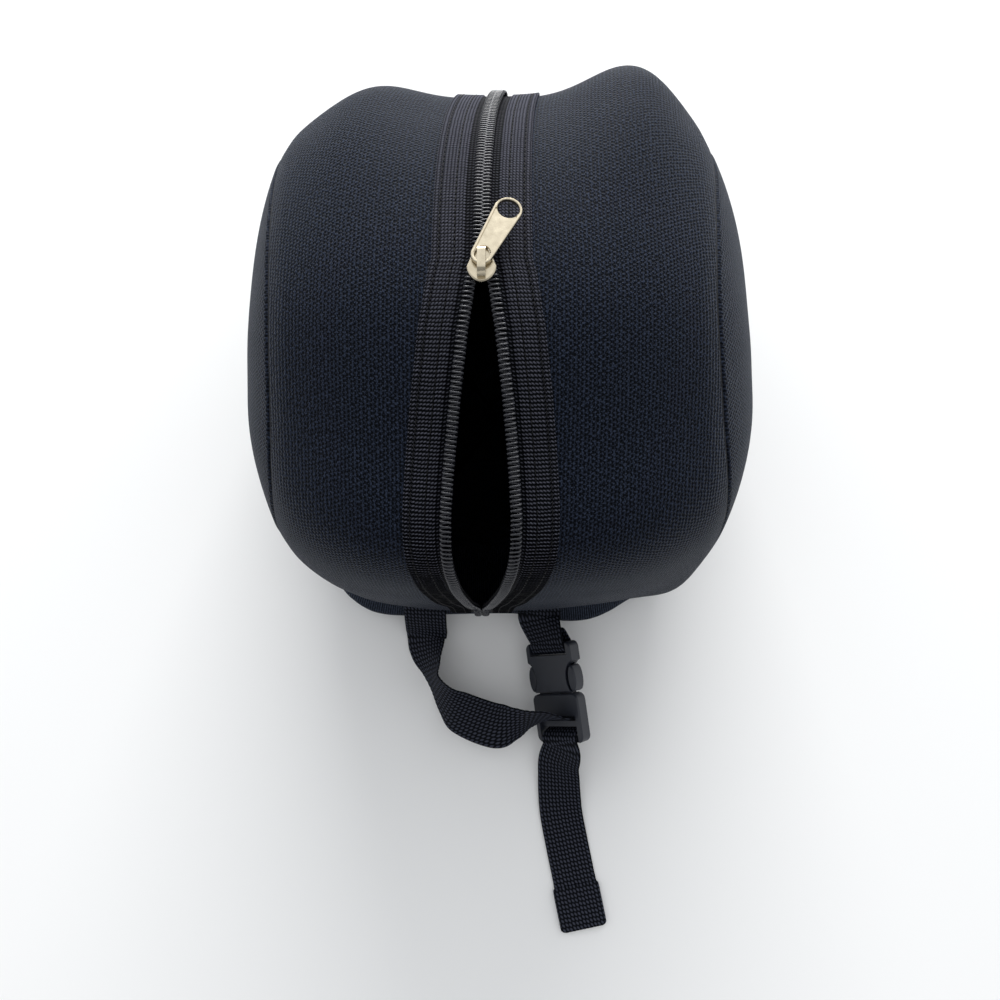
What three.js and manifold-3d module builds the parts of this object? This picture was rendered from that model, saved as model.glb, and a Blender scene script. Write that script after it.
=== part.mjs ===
// Helmet bag: a soft dome of spacer mesh on a shallow base, with a zip over the top and a buckled strap.
// Millimetres. The origin is the middle of the base on the surface it rests on, +X right, +Y back, +Z up.

import * as THREE from "three";
import { mergeVertices } from "three/addons/utils/BufferGeometryUtils.js";
import Module from "manifold-3d";

const wasm = await Module();
wasm.setup();

// Cloth thickness and the clearance kept between sewn layers
const WALL = 3;
const GAP = 0.3;

// Sections of the dome from the front rim over the top to the back rim: the middle line of the zip (x, y, z),
// the side seams of the gusset (seamX to either side, leaning left by lean, at seamY and seamZ) and power,
// which says how long the gusset stays flat before it falls to the seam
const SECTIONS = [
  { x: -10.5, y: -121, z: 23, seamX: 97, lean: 0, seamY: -103, seamZ: 23, power: 2.8, name: "front_rim" },
  { x: -9.5, y: -117.5, z: 74, seamX: 98, lean: 0, seamY: -101, seamZ: 73, power: 4.4, name: "front_low" },
  { x: -8.4, y: -114, z: 142, seamX: 96, lean: 0, seamY: -90, seamZ: 134, power: 3.8, name: "front_mid" },
  { x: -7, y: -102, z: 192, seamX: 90, lean: 0, seamY: -74, seamZ: 172, power: 3.2, name: "front_turn" },
  { x: -6.4, y: -62, z: 210, seamX: 86, lean: 1.3, seamY: -44, seamZ: 189, power: 2.6, name: "top_front" },
  { x: -6.2, y: -14, z: 221, seamX: 84.5, lean: 2.6, seamY: -6, seamZ: 197, power: 2.6, name: "apex" },
  { x: -6.1, y: 34, z: 212, seamX: 88, lean: 2.6, seamY: 36, seamZ: 188, power: 2.8, name: "top_back" },
  { x: -4, y: 74, z: 191, seamX: 93, lean: 1.6, seamY: 74, seamZ: 166, power: 3.8, name: "back_turn" },
  { x: 0, y: 103, z: 162, seamX: 96, lean: 0.6, seamY: 98, seamZ: 134, power: 4.6, name: "back_mid" },
  { x: 0, y: 122, z: 104, seamX: 98, lean: 0, seamY: 106, seamZ: 86, power: 4.8, name: "back_low" },
  { x: 0, y: 118, z: 23, seamX: 97, lean: 0, seamY: 104, seamZ: 23, power: 5, name: "back_rim" },
];
const LEVEL_END = 0.12;
const SEAM_TURN = 0.7;
const SEAM_GAP_HALF = 0.22;
const GROOVE_DEPTH = 2.2;
const GROOVE_WIDTH = 5;

// Soft swellings of the gusset: across from the zip line, along it as a share, and how far they stand out
const SWELLINGS = [
  { name: "back_left", across: -52, spread: 21, along: 0.735, reach: 0.12, height: 6 },
  { name: "back_right", across: 58, spread: 25, along: 0.735, reach: 0.12, height: 14.5 },
  { name: "front_right", across: 100, spread: 14, along: 0.1, reach: 0.075, height: 4 },
  { name: "front_left", across: -92, spread: 18, along: 0.1, reach: 0.075, height: -10.5 },
];

// Side panels bulge outwards from the seams
const SIDES = [
  { name: "side_left", sign: -1, centreX: 119, centreY: 2, centreZ: 108, rimSwell: 14 },
  { name: "side_right", sign: 1, centreX: 120, centreY: 2, centreZ: 108, rimSwell: 14 },
];
const SIDE_FULLNESS = 1.45;

// Wall of the base, from its rim to the flat underside: height and distance inside the dome's rim line
const BASE_OUTER = [
  { z: 22.7, inset: 3.4 },
  { z: 16.5, inset: 0.6 },
  { z: 10, inset: -1.8 },
  { z: 4, inset: -0.6 },
  { z: 1, inset: 3.4 },
  { z: 0, inset: 9 },
];
const BASE_INNER = [
  { z: 3, inset: 10.5 },
  { z: 3.6, inset: 6.6 },
  { z: 5.4, inset: 2.8 },
  { z: 10, inset: 1.2 },
  { z: 16.5, inset: 3.6 },
  { z: 22.7, inset: 6.4 },
];
const BASE_FAN_AT = { x: 9, y: -14 };

// The base stands further out under the front rim, most beside the straps: how far, and its share by height
const BASE_FRONT = [
  { x: -102, swell: 1 },
  { x: -88, swell: 4.8 },
  { x: -74, swell: 6.6 },
  { x: -57, swell: 4.2 },
  { x: -38, swell: 1.2 },
  { x: -18, swell: 0 },
  { x: 8, swell: 0 },
  { x: 25, swell: 2.6 },
  { x: 38, swell: 6 },
  { x: 52, swell: 7 },
  { x: 64, swell: 5 },
  { x: 78, swell: 1 },
  { x: 100, swell: 0 },
];
const BASE_FRONT_SHARE = [
  { z: 0, share: 1 },
  { z: 10, share: 1 },
  { z: 16.5, share: 0.3 },
  { z: 22.7, share: 0 },
];

// Zip: distances across are measured from the middle of a strand's inner edge
const SLIDER_AT = 0.5085;
const MESH_EDGE = 7;
const TAPE_THICK = 0.9;
const TAPE_ACROSS = [1.2, 6.6, 12, 17.4];
const COIL_SECTION = [
  { across: 0.2, height: 2 },
  { across: 0.9, height: 3.2 },
  { across: 3.1, height: 3.2 },
  { across: 3.8, height: 2.2 },
  { across: 3.4, height: 1.5 },
  { across: 0.6, height: 1.5 },
];

// Half the clear width between the two strands, by the distance in front of the slider
const ZIP_OPENING = [
  { ahead: -3, half: 0 },
  { ahead: 3, half: 1.3 },
  { ahead: 9, half: 2.3 },
  { ahead: 22, half: 4.3 },
  { ahead: 46, half: 7 },
  { ahead: 78, half: 9.7 },
  { ahead: 95, half: 10.3 },
  { ahead: 106, half: 9.5 },
  { ahead: 118, half: 7.8 },
  { ahead: 138, half: 5.9 },
  { ahead: 162, half: 3.6 },
  { ahead: 196, half: 1.4 },
  { ahead: 236, half: 0 },
  { ahead: 270, half: 0 },
];

// Slider: heights are measured from the mesh's outer face along the surface normal
const SLIDER = {
  rearY: 4.2,
  rearHalf: 2.3,
  wideY: -2.6,
  wideHalf: 4.95,
  sideRound: 3,
  noseHalf: 2.4,
  noseY: -8.4,
  topFrom: 4,
  topThick: 1.5,
  underFrom: -2,
  underThick: 1.5,
  underShift: 4,
  postHalf: 0.6,
  postFrom: -4.2,
  postTo: -1.8,
  bevel: 0.4,
  sunk: 0.5,
};
const BRIDGE = {
  half: 1.4,
  frontY: -7.1,
  frontRound: 2.4,
  rearY: 2.5,
  rearRound: 1.6,
  foot: 1.6,
  top: 9.8,
  clear: 8.2,
};

// Pull tab: distances along it start at the middle of the bar that hooks under the bridge
const PULL = {
  barX: -1.3,
  barY: -2.3,
  barHeight: 6.95,
  turnDeg: 27,
  droopDeg: 2,
  thick: 1.6,
  neckHalf: 3.7,
  neckY: 3.2,
  tipHalf: 4.9,
  tipY: 22.4,
  slotHalf: 2.65,
  slotEndY: 4,
  holeHalf: 4,
  holeRound: 3.5,
  holeShift: 0.5,
  rim: 0.8,
  recessDeep: 0.45,
  recessEnd: 1,
  bevel: 0.2,
};

// Webbing and where its two ends leave the front seam
const WEB_WIDTH = 25;
const WEB_THICK = 1.3;
const LEG_ACROSS = 33.6;

// Buckle: its middle, the direction of its long axis and how far it is rolled with its right edge up
const BUCKLE = { x: 33.8, y: -168.1, z: 16.6, headingDeg: 7.5, rollDeg: 42 };
const SOCKET = {
  half: 16.5,
  from: 0.4,
  to: 29,
  halfThick: 4.8,
  corner: 3.5,
  cavityHalf: 13.7,
  cavityTo: 19,
  cavityHalfThick: 2.8,
  biteX: 17.2,
  biteY: 8.4,
  biteHalf: 6.4,
  biteRound: 9.8,
  slotFrom: 21.7,
  slotTo: 25.4,
  slotHalf: 13.3,
  barThick: 1.7,
};
const CLIP = {
  half: 16.5,
  from: -28,
  to: -0.4,
  halfThick: 4.2,
  corner: 4,
  slotHalf: 13.3,
  slots: [
    { from: -16, to: -12.9 },
    { from: -24, to: -19.2 },
  ],
  barThick: 1.5,
  endBarTop: 2,
  tongueHalf: 3.4,
  tongueFrom: -2,
  tongueTo: 15,
  armHalfThick: 1.9,
  padHalfThick: 4.3,
};
const BEVEL = 0.8;

// How far a cut runs past the face it opens, and the half height of a cut right through the buckle
const CUT_LAP = 0.1;
const CUT_HALF = 6;

// Right arm of the clip, seen on its face: from the root out to the release pad and round to the tip
const ARM = [
  { x: 8.4, y: -2 },
  { x: 11.8, y: -2 },
  { x: 12.4, y: 3.4 },
  { x: 13.3, y: 5.6 },
  { x: 15.4, y: 6.6 },
  { x: 16.1, y: 9.5 },
  { x: 15, y: 12.2 },
  { x: 13.1, y: 13.4 },
  { x: 11.8, y: 15.4 },
  { x: 10.2, y: 17.2 },
  { x: 9, y: 16.4 },
  { x: 10, y: 12 },
  { x: 10, y: 4 },
];
const PAD = { x: 14.4, y: 8.2, half: 2.8, round: 7.4, clear: 1.7 };

// Long strap after its left leg: the middle of the band, the direction of its width, layers, share of width
const STRAP_LOOP = [
  { x: -44.6, y: -137, z: 5.8, wx: 0.95, wy: 0, wz: 0.31, layers: 1, wide: 1 },
  { x: -43.9, y: -143.8, z: 7.6, wx: 0.85, wy: 0, wz: 0.53, layers: 1, wide: 1 },
  { x: -41.9, y: -152.4, z: 10.8, wx: 0.6, wy: 0.08, wz: 0.79, layers: 1, wide: 1 },
  { x: -39, y: -162, z: 13, wx: 0.33, wy: 0.2, wz: 0.92, layers: 1, wide: 1 },
  { x: -31.2, y: -173, z: 17, wx: 0.4, wy: 0.57, wz: 0.71, layers: 1, wide: 1 },
  { x: -21.9, y: -179.5, z: 21, wx: 0.516, wy: 0.82, wz: 0.25, layers: 1, wide: 1 },
  { x: -3, y: -185.6, z: 25, wx: 0.385, wy: 0.925, wz: 0.03, layers: 1, wide: 1 },
  { x: 10, y: -184.8, z: 25.5, wx: 0.3, wy: 0.76, wz: 0.56, layers: 1, wide: 1 },
  { x: 21, y: -182.4, z: 24, wx: 0.52, wy: 0.46, wz: 0.72, layers: 1, wide: 1 },
];

// Long strap through the clip: along the buckle from its middle, and height above its mid plane
const STRAP_CLIP = [
  { along: -13.8, height: 6.4 },
  { along: -14, height: 1.6 },
  { along: -15.1, height: -2.7 },
  { along: -17.6, height: -4.3 },
  { along: -20.3, height: -2.6 },
  { along: -21.5, height: 1 },
  { along: -23.4, height: 4 },
  { along: -26.6, height: 4.9 },
  { along: -31.5, height: 3.6 },
];

// Free end laid on the surface, with the folded hem
const STRAP_TAIL = [
  { x: 34, y: -209, z: 12.8, wx: 0.87, wy: 0.05, wz: 0.49, layers: 1, wide: 1 },
  { x: 34.4, y: -217.5, z: 8, wx: 0.94, wy: 0.06, wz: 0.34, layers: 1, wide: 1 },
  { x: 35, y: -228, z: 4.2, wx: 0.98, wy: 0.08, wz: 0.18, layers: 1, wide: 1 },
  { x: 36.2, y: -240, z: 2, wx: 0.99, wy: 0.12, wz: 0.06, layers: 1, wide: 1 },
  { x: 39.2, y: -255.8, z: 1.1, wx: 0.985, wy: 0.17, wz: 0, layers: 1, wide: 1 },
  { x: 43.8, y: -278.4, z: 1.1, wx: 0.983, wy: 0.18, wz: 0, layers: 1, wide: 1 },
  { x: 44.4, y: -281.4, z: 1.7, wx: 0.983, wy: 0.18, wz: 0, layers: 2, wide: 1.08 },
  { x: 48.8, y: -303, z: 1.7, wx: 0.983, wy: 0.18, wz: 0, layers: 2, wide: 1.08 },
];

// Long strap's leg from under the gusset's lower edge: outwards from the rim line, and height
const STRAP_LEG = [
  { out: -1.3, z: 21.7, turn: 0 },
  { out: 1.6, z: 20.3, turn: 0 },
  { out: 5.6, z: 17.8, turn: 0 },
  { out: 9.8, z: 13.6, turn: 0 },
  { out: 13.2, z: 9.4, turn: 0 },
];

// Short strap's leg, and then its way along the buckle: over the socket's bar and back under it
const SHORT_LEG = [
  { out: -1.3, z: 21.7, turn: 0 },
  { out: 1.8, z: 20.4, turn: 0.1 },
  { out: 5.6, z: 20, turn: 0.45 },
];
const STRAP_SOCKET = [
  { along: 31, height: 4.6 },
  { along: 27, height: 4.3 },
  { along: 23.6, height: 2.6 },
  { along: 22.7, height: 0 },
  { along: 24, height: -2.8 },
  { along: 27.5, height: -3.9 },
  { along: 32, height: -1.6 },
  { along: 37, height: 1.6 },
];

// Colours and surface values read from the photo
const FINISH = {
  mesh: { color: "#22262f", roughness: 0.9, metalness: 0 },
  tape: { color: "#1f2128", roughness: 0.8, metalness: 0 },
  coil: { color: "#141519", roughness: 0.45, metalness: 0 },
  webbing: { color: "#1b1c22", roughness: 0.7, metalness: 0 },
  buckle: { color: "#26282f", roughness: 0.5, metalness: 0 },
  nickel: { color: "#e0d6be", roughness: 0.25, metalness: 1 },
};

// Steps of the faceted shapes
const SECTION_COUNT = 36;
const TURN_WEIGHT = 0.25;
const FINE_STEPS = 400;
const GUSSET_ACROSS = [0, 0.14, 0.28, 0.42, 0.56, 0.7, 0.82, 0.91, 0.97, 1];
const SIDE_RIM_STEPS = 10;
const SIDE_NET_STEP = 0.08;
const SIDE_NET_RINGS = 13;
const SIDE_RINGS = [0, 1, 3, 5, 8, 11];
const NET_SWEEPS = 800;
const NET_STRIDE = 1.7;
const RIM_EDGE_STEPS = 16;
const STRAP_STEPS = 2;
const TANGENT_STEP = 0.05;

// Share of a strap's skew that is taken out where the width column is not square to its path
const SQUARING = 0.8;

const bag = new THREE.Group();
bag.name = "helmet_bag";

function smoothstep(value, from, to) {
  const t = Math.min(Math.max((value - from) / (to - from), 0), 1);
  return t * t * (3 - 2 * t);
}

// Cubic interpolation of one column of a table against another
function tableValue(rows, key, column, at) {
  const last = rows.length - 1;
  const place = Math.min(Math.max(at, rows[0][key]), rows[last][key]);
  let i = 0;
  while (i < last - 1 && rows[i + 1][key] < place) {
    i += 1;
  }
  const slope = (k) => {
    const before = rows[Math.max(k - 1, 0)];
    const after = rows[Math.min(k + 1, last)];
    return (after[column] - before[column]) / (after[key] - before[key]);
  };
  const span = rows[i + 1][key] - rows[i][key];
  const t = (place - rows[i][key]) / span;
  const rise = rows[i + 1][column] - rows[i][column];
  const bend = t * (1 - t) * ((1 - t) * (slope(i) * span - rise) - t * (slope(i + 1) * span - rise));
  return rows[i][column] + rise * t + bend;
}

// Closed geometry from faces over a list of points, turned to face outwards
function closedGeometry(points, faces) {
  const geometry = new THREE.BufferGeometry();
  geometry.setFromPoints(points);
  let volume = 0;
  for (const [a, b, c] of faces) {
    volume += points[a].dot(new THREE.Vector3().crossVectors(points[b], points[c]));
  }
  geometry.setIndex(volume > 0 ? faces.flat() : faces.map(([a, b, c]) => [a, c, b]).flat());
  geometry.computeVertexNormals();
  return geometry;
}

// Side faces between neighbouring rings that hold the same number of points
function ringFaces(ringCount, size) {
  const faces = [];
  for (let i = 0; i + 1 < ringCount; i += 1) {
    for (let j = 0; j < size; j += 1) {
      const a = i * size + j;
      const b = i * size + ((j + 1) % size);
      faces.push([a, b, b + size], [a, b + size, a + size]);
    }
  }
  return faces;
}

// A strip through closed sections, with each end closed across its section
function stripGeometry(sections) {
  const size = sections[0].length;
  const faces = ringFaces(sections.length, size);
  const lastStart = (sections.length - 1) * size;
  for (let j = 0; j + 1 < size / 2; j += 1) {
    const [a, b, c, d] = [j, j + 1, size - 2 - j, size - 1 - j];
    faces.push([a, c, b], [a, d, c]);
    faces.push([lastStart + a, lastStart + b, lastStart + c], [lastStart + a, lastStart + c, lastStart + d]);
  }
  return closedGeometry(sections.flat(), faces);
}

// A shell through closed rings, with a point closing it at each end
function shellGeometry(rings, firstPole, lastPole) {
  const size = rings[0].length;
  const faces = ringFaces(rings.length, size);
  const points = rings.flat();
  const first = points.push(firstPole) - 1;
  const last = points.push(lastPole) - 1;
  const lastStart = (rings.length - 1) * size;
  for (let j = 0; j < size; j += 1) {
    const next = (j + 1) % size;
    faces.push([first, next, j], [last, lastStart + j, lastStart + next]);
  }
  return closedGeometry(points, faces);
}

function addMesh(name, geometry, finish, parent = bag) {
  const material = new THREE.MeshStandardMaterial(FINISH[finish]);
  const mesh = new THREE.Mesh(geometry, material);
  mesh.name = name;
  parent.add(mesh);
}

// Join and cut closed shapes
function solid(geometry) {
  const bare = geometry.clone();
  bare.deleteAttribute("normal");
  bare.deleteAttribute("uv");
  const merged = mergeVertices(bare, 1e-4);
  const vertProperties = new Float32Array(merged.attributes.position.array);
  const triVerts = new Uint32Array(merged.index.array);
  return new wasm.Manifold(new wasm.Mesh({ numProp: 3, vertProperties, triVerts }));
}

function geometryOf(shape) {
  const mesh = shape.getMesh();
  const geometry = new THREE.BufferGeometry();
  geometry.setAttribute("position", new THREE.BufferAttribute(new Float32Array(mesh.vertProperties), 3));
  geometry.setIndex(new THREE.BufferAttribute(new Uint32Array(mesh.triVerts), 1));
  geometry.computeVertexNormals();
  return geometry;
}

// A block between two corners
function block(x0, x1, y0, y1, z0, z1) {
  const geometry = new THREE.BoxGeometry(x1 - x0, y1 - y0, z1 - z0);
  geometry.translate((x0 + x1) / 2, (y0 + y1) / 2, (z0 + z1) / 2);
  return solid(geometry);
}

// A flat outline given thickness, between two heights
function plate(shape, z0, z1, bevel = 0, curveSegments = 10) {
  const geometry = new THREE.ExtrudeGeometry(shape, {
    depth: z1 - z0 - 2 * bevel,
    bevelEnabled: bevel > 0,
    bevelThickness: bevel,
    bevelSize: bevel,
    bevelOffset: -bevel,
    bevelSegments: 1,
    curveSegments,
  });
  geometry.translate(0, 0, z0 + bevel);
  return solid(geometry);
}

function outline(rows, sign = 1) {
  return new THREE.Shape(rows.map((row) => new THREE.Vector2(row.x * sign, row.y)));
}

function roundedRectangle(half, y0, y1, radius) {
  const shape = new THREE.Shape();
  shape.absarc(half - radius, y1 - radius, radius, 0, Math.PI / 2);
  shape.absarc(radius - half, y1 - radius, radius, Math.PI / 2, Math.PI);
  shape.absarc(radius - half, y0 + radius, radius, Math.PI, Math.PI * 1.5);
  shape.absarc(half - radius, y0 + radius, radius, Math.PI * 1.5, Math.PI * 2);
  return shape;
}

// Dome surface: a share along the zip line, a distance across from it and a depth below the outer face
function sectionCurve(x, y, z) {
  const points = SECTIONS.map((row) => new THREE.Vector3(row[x], row[y], row[z]));
  return new THREE.CatmullRomCurve3(points, false, "catmullrom", 0.5);
}
const zipLine = sectionCurve("x", "y", "z");
const seamLine = sectionCurve("seamX", "seamY", "seamZ");
const zipLength = zipLine.getLength();
const numberedSections = SECTIONS.map((row, index) => ({ ...row, index }));

function seamHalf(along, sign) {
  const place = zipLine.getUtoTmapping(along);
  const lean = tableValue(numberedSections, "index", "lean", place * (SECTIONS.length - 1));
  return seamLine.getPoint(place).x - sign * (zipLine.getPoint(place).x + lean);
}

function skinPoint(along, across, depth) {
  const place = zipLine.getUtoTmapping(along);
  const middle = zipLine.getPoint(place);
  const seam = seamLine.getPoint(place);
  const half = seamHalf(along, Math.sign(across));
  const share = Math.abs(across) / half;
  const power = tableValue(numberedSections, "index", "power", place * (SECTIONS.length - 1));
  const tangent = zipLine.getTangent(place);
  const level = smoothstep(Math.min(along, 1 - along), 0, LEVEL_END);
  const outward = new THREE.Vector3(0, -tangent.z, tangent.y * level).normalize();
  const fromSeam = ((1 - share) * half) / GROOVE_WIDTH;
  let rise = -depth - GROOVE_DEPTH * Math.exp(-fromSeam * fromSeam);
  for (const row of SWELLINGS) {
    const off = ((across - row.across) / row.spread) ** 2 + ((along - row.along) / row.reach) ** 2;
    rise += row.height * Math.exp(-off);
  }
  const point = middle.clone().lerp(seam, share ** power).addScaledVector(outward, rise);
  point.x = middle.x + across;
  return point;
}

// Sections along the zip line, closer together where it turns
function sectionPlaces() {
  const sums = [0];
  for (let i = 1; i <= FINE_STEPS; i += 1) {
    const before = zipLine.getTangentAt((i - 1) / FINE_STEPS);
    const turn = before.angleTo(zipLine.getTangentAt(i / FINE_STEPS));
    sums.push(sums[i - 1] + 1 / FINE_STEPS + TURN_WEIGHT * turn);
  }
  const places = [];
  for (let k = 0; k <= SECTION_COUNT; k += 1) {
    const wanted = (sums[FINE_STEPS] * k) / SECTION_COUNT;
    const i = Math.max(sums.findIndex((sum) => sum >= wanted - 1e-9), 1);
    const share = (wanted - sums[i - 1]) / (sums[i] - sums[i - 1]);
    places.push((i - 1 + share) / FINE_STEPS);
  }
  return places;
}
const places = sectionPlaces();

function zipHalf(along) {
  return tableValue(ZIP_OPENING, "ahead", "half", (SLIDER_AT - along) * zipLength);
}

// Gusset halves
for (const [name, sign] of [["gusset_left", -1], ["gusset_right", 1]]) {
  const sections = [];
  for (const along of places) {
    const inside = zipHalf(along) + MESH_EDGE;
    const face = (depth) => GUSSET_ACROSS.map((share) => {
      const seam = seamHalf(along, sign) - depth * SEAM_TURN - SEAM_GAP_HALF;
      return skinPoint(along, sign * (inside + (seam - inside) * share), depth);
    });
    sections.push([...face(0), ...face(WALL).reverse()]);
  }
  addMesh(name, stripGeometry(sections), "mesh");
}

// Edge of a side panel: up and over along the seam, then back along the rim
function sideEdge(side, depth) {
  const edge = [];
  for (const along of places) {
    const across = seamHalf(along, side.sign) - depth * SEAM_TURN;
    const point = skinPoint(along, side.sign * across, depth);
    point.x += side.sign * SEAM_GAP_HALF;
    edge.push(point);
  }
  const front = edge[0];
  const back = edge[SECTION_COUNT];
  for (let i = 1; i < SIDE_RIM_STEPS; i += 1) {
    const share = i / SIDE_RIM_STEPS;
    const point = back.clone().lerp(front, share);
    const swell = side.rimSwell * Math.sin(Math.PI * share);
    point.x += side.sign * (swell - depth * (1 - SEAM_TURN) * Math.sin(Math.PI * share));
    edge.push(point);
  }
  return edge;
}

// Heights of a sheet over rings of flat points, held at its edge ring and pushed by an even load: every other
// point balances the pulls of its neighbours, each as strong as the link is wide over its length
function heldSheet(flat, edgeHeights, load) {
  const size = edgeHeights.length;
  const last = flat.length - 1;
  const next = (j) => (j + 1) % size;
  const previous = (j) => (j + size - 1) % size;
  const arcs = flat.map((ring) => ring.map((point, j) => point.distanceTo(ring[next(j)])));
  const cells = arcs.map((ring) => ring.map((arc, j) => (arc + ring[previous(j)]) / 2));
  const links = flat.slice(1).map((ring, i) => ring.map((point, j) => point.distanceTo(flat[i][j])));
  const pullOut = links.map((ring, i) => ring.map((link, j) => (cells[i][j] + cells[i + 1][j]) / 2 / link));
  const depth = (i, j) => (links[i - 1][j] + links[Math.min(i, last - 1)][j]) / 2;
  const heights = flat.map(() => [...edgeHeights]);
  for (let sweep = 0; sweep < NET_SWEEPS; sweep += 1) {
    for (let i = 1; i <= last; i += 1) {
      for (let j = 0; j < size; j += 1) {
        const after = depth(i, j) / arcs[i][j];
        const before = depth(i, previous(j)) / arcs[i][previous(j)];
        const inner = i < last ? pullOut[i][j] : 0;
        const innerHeight = i < last ? heights[i + 1][j] : 0;
        let sum = load * cells[i][j] * depth(i, j) + pullOut[i - 1][j] * heights[i - 1][j];
        sum += inner * innerHeight + after * heights[i][next(j)] + before * heights[i][previous(j)];
        const balanced = sum / (pullOut[i - 1][j] + inner + after + before);
        heights[i][j] += NET_STRIDE * (balanced - heights[i][j]);
      }
    }
  }
  return heights;
}

// Rings of a side panel, from its edge towards its middle
function sideRings(side, depth) {
  const edge = sideEdge(side, depth);
  const centre = new THREE.Vector3(side.sign * (side.centreX - depth), side.centreY, side.centreZ);
  const net = [];
  for (let i = 0; i < SIDE_NET_RINGS; i += 1) {
    net.push(edge.map((point) => point.clone().lerp(centre, i * SIDE_NET_STEP)));
  }
  const flat = net.map((ring) => ring.map((point) => new THREE.Vector2(point.y, point.z)));
  const held = heldSheet(flat, edge.map((point) => point.x), 0);
  const blown = heldSheet(flat, edge.map(() => 0), 1);
  const most = Math.max(...blown.flat());
  const inmost = held[SIDE_NET_RINGS - 1];
  const push = centre.x - inmost.reduce((sum, x) => sum + x, 0) / inmost.length;
  return SIDE_RINGS.map((i) => net[i].map((point, j) => {
    const full = 1 - (1 - blown[i][j] / most) ** SIDE_FULLNESS;
    return point.clone().setX(held[i][j] + push * full);
  }));
}

// Side panels
for (const side of SIDES) {
  const middle = (depth) => new THREE.Vector3(side.sign * (side.centreX - depth), side.centreY, side.centreZ);
  const rings = [...sideRings(side, 0).reverse(), ...sideRings(side, WALL)];
  addMesh(side.name, shellGeometry(rings, middle(0), middle(WALL)), "mesh");
}

// Rim line of the dome, seen from above
function rimLine() {
  const line = [];
  const edge = (along, from, to) => {
    for (let i = 0; i < RIM_EDGE_STEPS; i += 1) {
      const point = skinPoint(along, from + ((to - from) * i) / RIM_EDGE_STEPS, 0);
      line.push(new THREE.Vector2(point.x, point.y));
    }
  };
  const sideLine = (side, reversed) => {
    const points = sideEdge(side, 0).slice(SECTION_COUNT);
    points.push(sideEdge(side, 0)[0]);
    const ordered = reversed ? points.reverse() : points;
    ordered.slice(0, -1).forEach((point) => line.push(new THREE.Vector2(point.x, point.y)));
  };
  edge(0, -seamHalf(0, -1), seamHalf(0, 1));
  sideLine(SIDES[1], true);
  edge(1, seamHalf(1, 1), -seamHalf(1, -1));
  sideLine(SIDES[0], false);
  return line;
}

// Base tray
const rim = rimLine();
const rimOutward = rim.map((point, i) => {
  const before = rim[(i + rim.length - 2) % rim.length];
  const after = rim[(i + 2) % rim.length];
  return new THREE.Vector2(after.y - before.y, before.x - after.x).normalize();
});
const baseRing = (row) => rim.map((point, i) => {
  const facing = smoothstep(-rimOutward[i].y, 0, 1) * tableValue(BASE_FRONT_SHARE, "z", "share", row.z);
  const swell = facing * tableValue(BASE_FRONT, "x", "swell", point.x);
  const moved = point.clone().addScaledVector(rimOutward[i], swell - row.inset);
  return new THREE.Vector3(moved.x, moved.y, row.z);
});
const baseRings = [...BASE_OUTER].reverse().map(baseRing);
baseRings.push(...[...BASE_INNER].reverse().map(baseRing));
const underside = new THREE.Vector3(BASE_FAN_AT.x, BASE_FAN_AT.y, 0);
const insideFloor = new THREE.Vector3(BASE_FAN_AT.x, BASE_FAN_AT.y, WALL);
addMesh("base", shellGeometry(baseRings, underside, insideFloor), "mesh");

// Zip tapes and coil strands
for (const [word, sign] of [["left", -1], ["right", 1]]) {
  const tape = places.map((along) => {
    const half = zipHalf(along);
    const face = (height) => TAPE_ACROSS.map((across) => skinPoint(along, sign * (half + across), -height));
    return [...face(GAP + TAPE_THICK), ...face(GAP).reverse()];
  });
  addMesh(`zip_tape_${word}`, stripGeometry(tape), "tape");
  const coil = places.map((along) => (
    COIL_SECTION.map((row) => skinPoint(along, sign * (zipHalf(along) + row.across), -row.height))
  ));
  addMesh(`zip_coil_${word}`, stripGeometry(coil), "coil");
}

// Slider with its bridge: x across the zip, y towards the closed end, z away from the bag
const sliderPlace = new THREE.Group();
const zipTangent = zipLine.getTangentAt(SLIDER_AT);
zipTangent.x = 0;
zipTangent.normalize();
const zipOutward = new THREE.Vector3(0, -zipTangent.z, zipTangent.y);
const zipBasis = new THREE.Matrix4().makeBasis(new THREE.Vector3(1, 0, 0), zipTangent, zipOutward);
sliderPlace.quaternion.setFromRotationMatrix(zipBasis);
sliderPlace.position.copy(zipLine.getPointAt(SLIDER_AT));
bag.add(sliderPlace);

const shield = new THREE.Shape();
shield.moveTo(SLIDER.wideHalf, SLIDER.wideY);
shield.lineTo(SLIDER.rearHalf, SLIDER.rearY);
shield.lineTo(-SLIDER.rearHalf, SLIDER.rearY);
shield.lineTo(-SLIDER.wideHalf, SLIDER.wideY);
const roundTo = SLIDER.wideY - SLIDER.sideRound;
shield.bezierCurveTo(-SLIDER.wideHalf, roundTo, -SLIDER.noseHalf, SLIDER.noseY, 0, SLIDER.noseY);
shield.bezierCurveTo(SLIDER.noseHalf, SLIDER.noseY, SLIDER.wideHalf, roundTo, SLIDER.wideHalf, SLIDER.wideY);
const topPlate = plate(shield, SLIDER.topFrom, SLIDER.topFrom + SLIDER.topThick, SLIDER.bevel);
const underTop = SLIDER.underFrom + SLIDER.underThick;
const underShield = plate(shield, SLIDER.underFrom, underTop, SLIDER.bevel);
const underPlate = underShield.translate([0, SLIDER.underShift, 0]);
const postHalf = SLIDER.postHalf;
const postLow = underTop - SLIDER.sunk;
const postTop = SLIDER.topFrom + SLIDER.sunk;
const post = block(-postHalf, postHalf, SLIDER.postFrom, SLIDER.postTo, postLow, postTop);
const bridgeBase = SLIDER.topFrom + SLIDER.topThick - SLIDER.sunk;
const bridgeShape = new THREE.Shape();
bridgeShape.moveTo(BRIDGE.frontY, bridgeBase);
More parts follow.
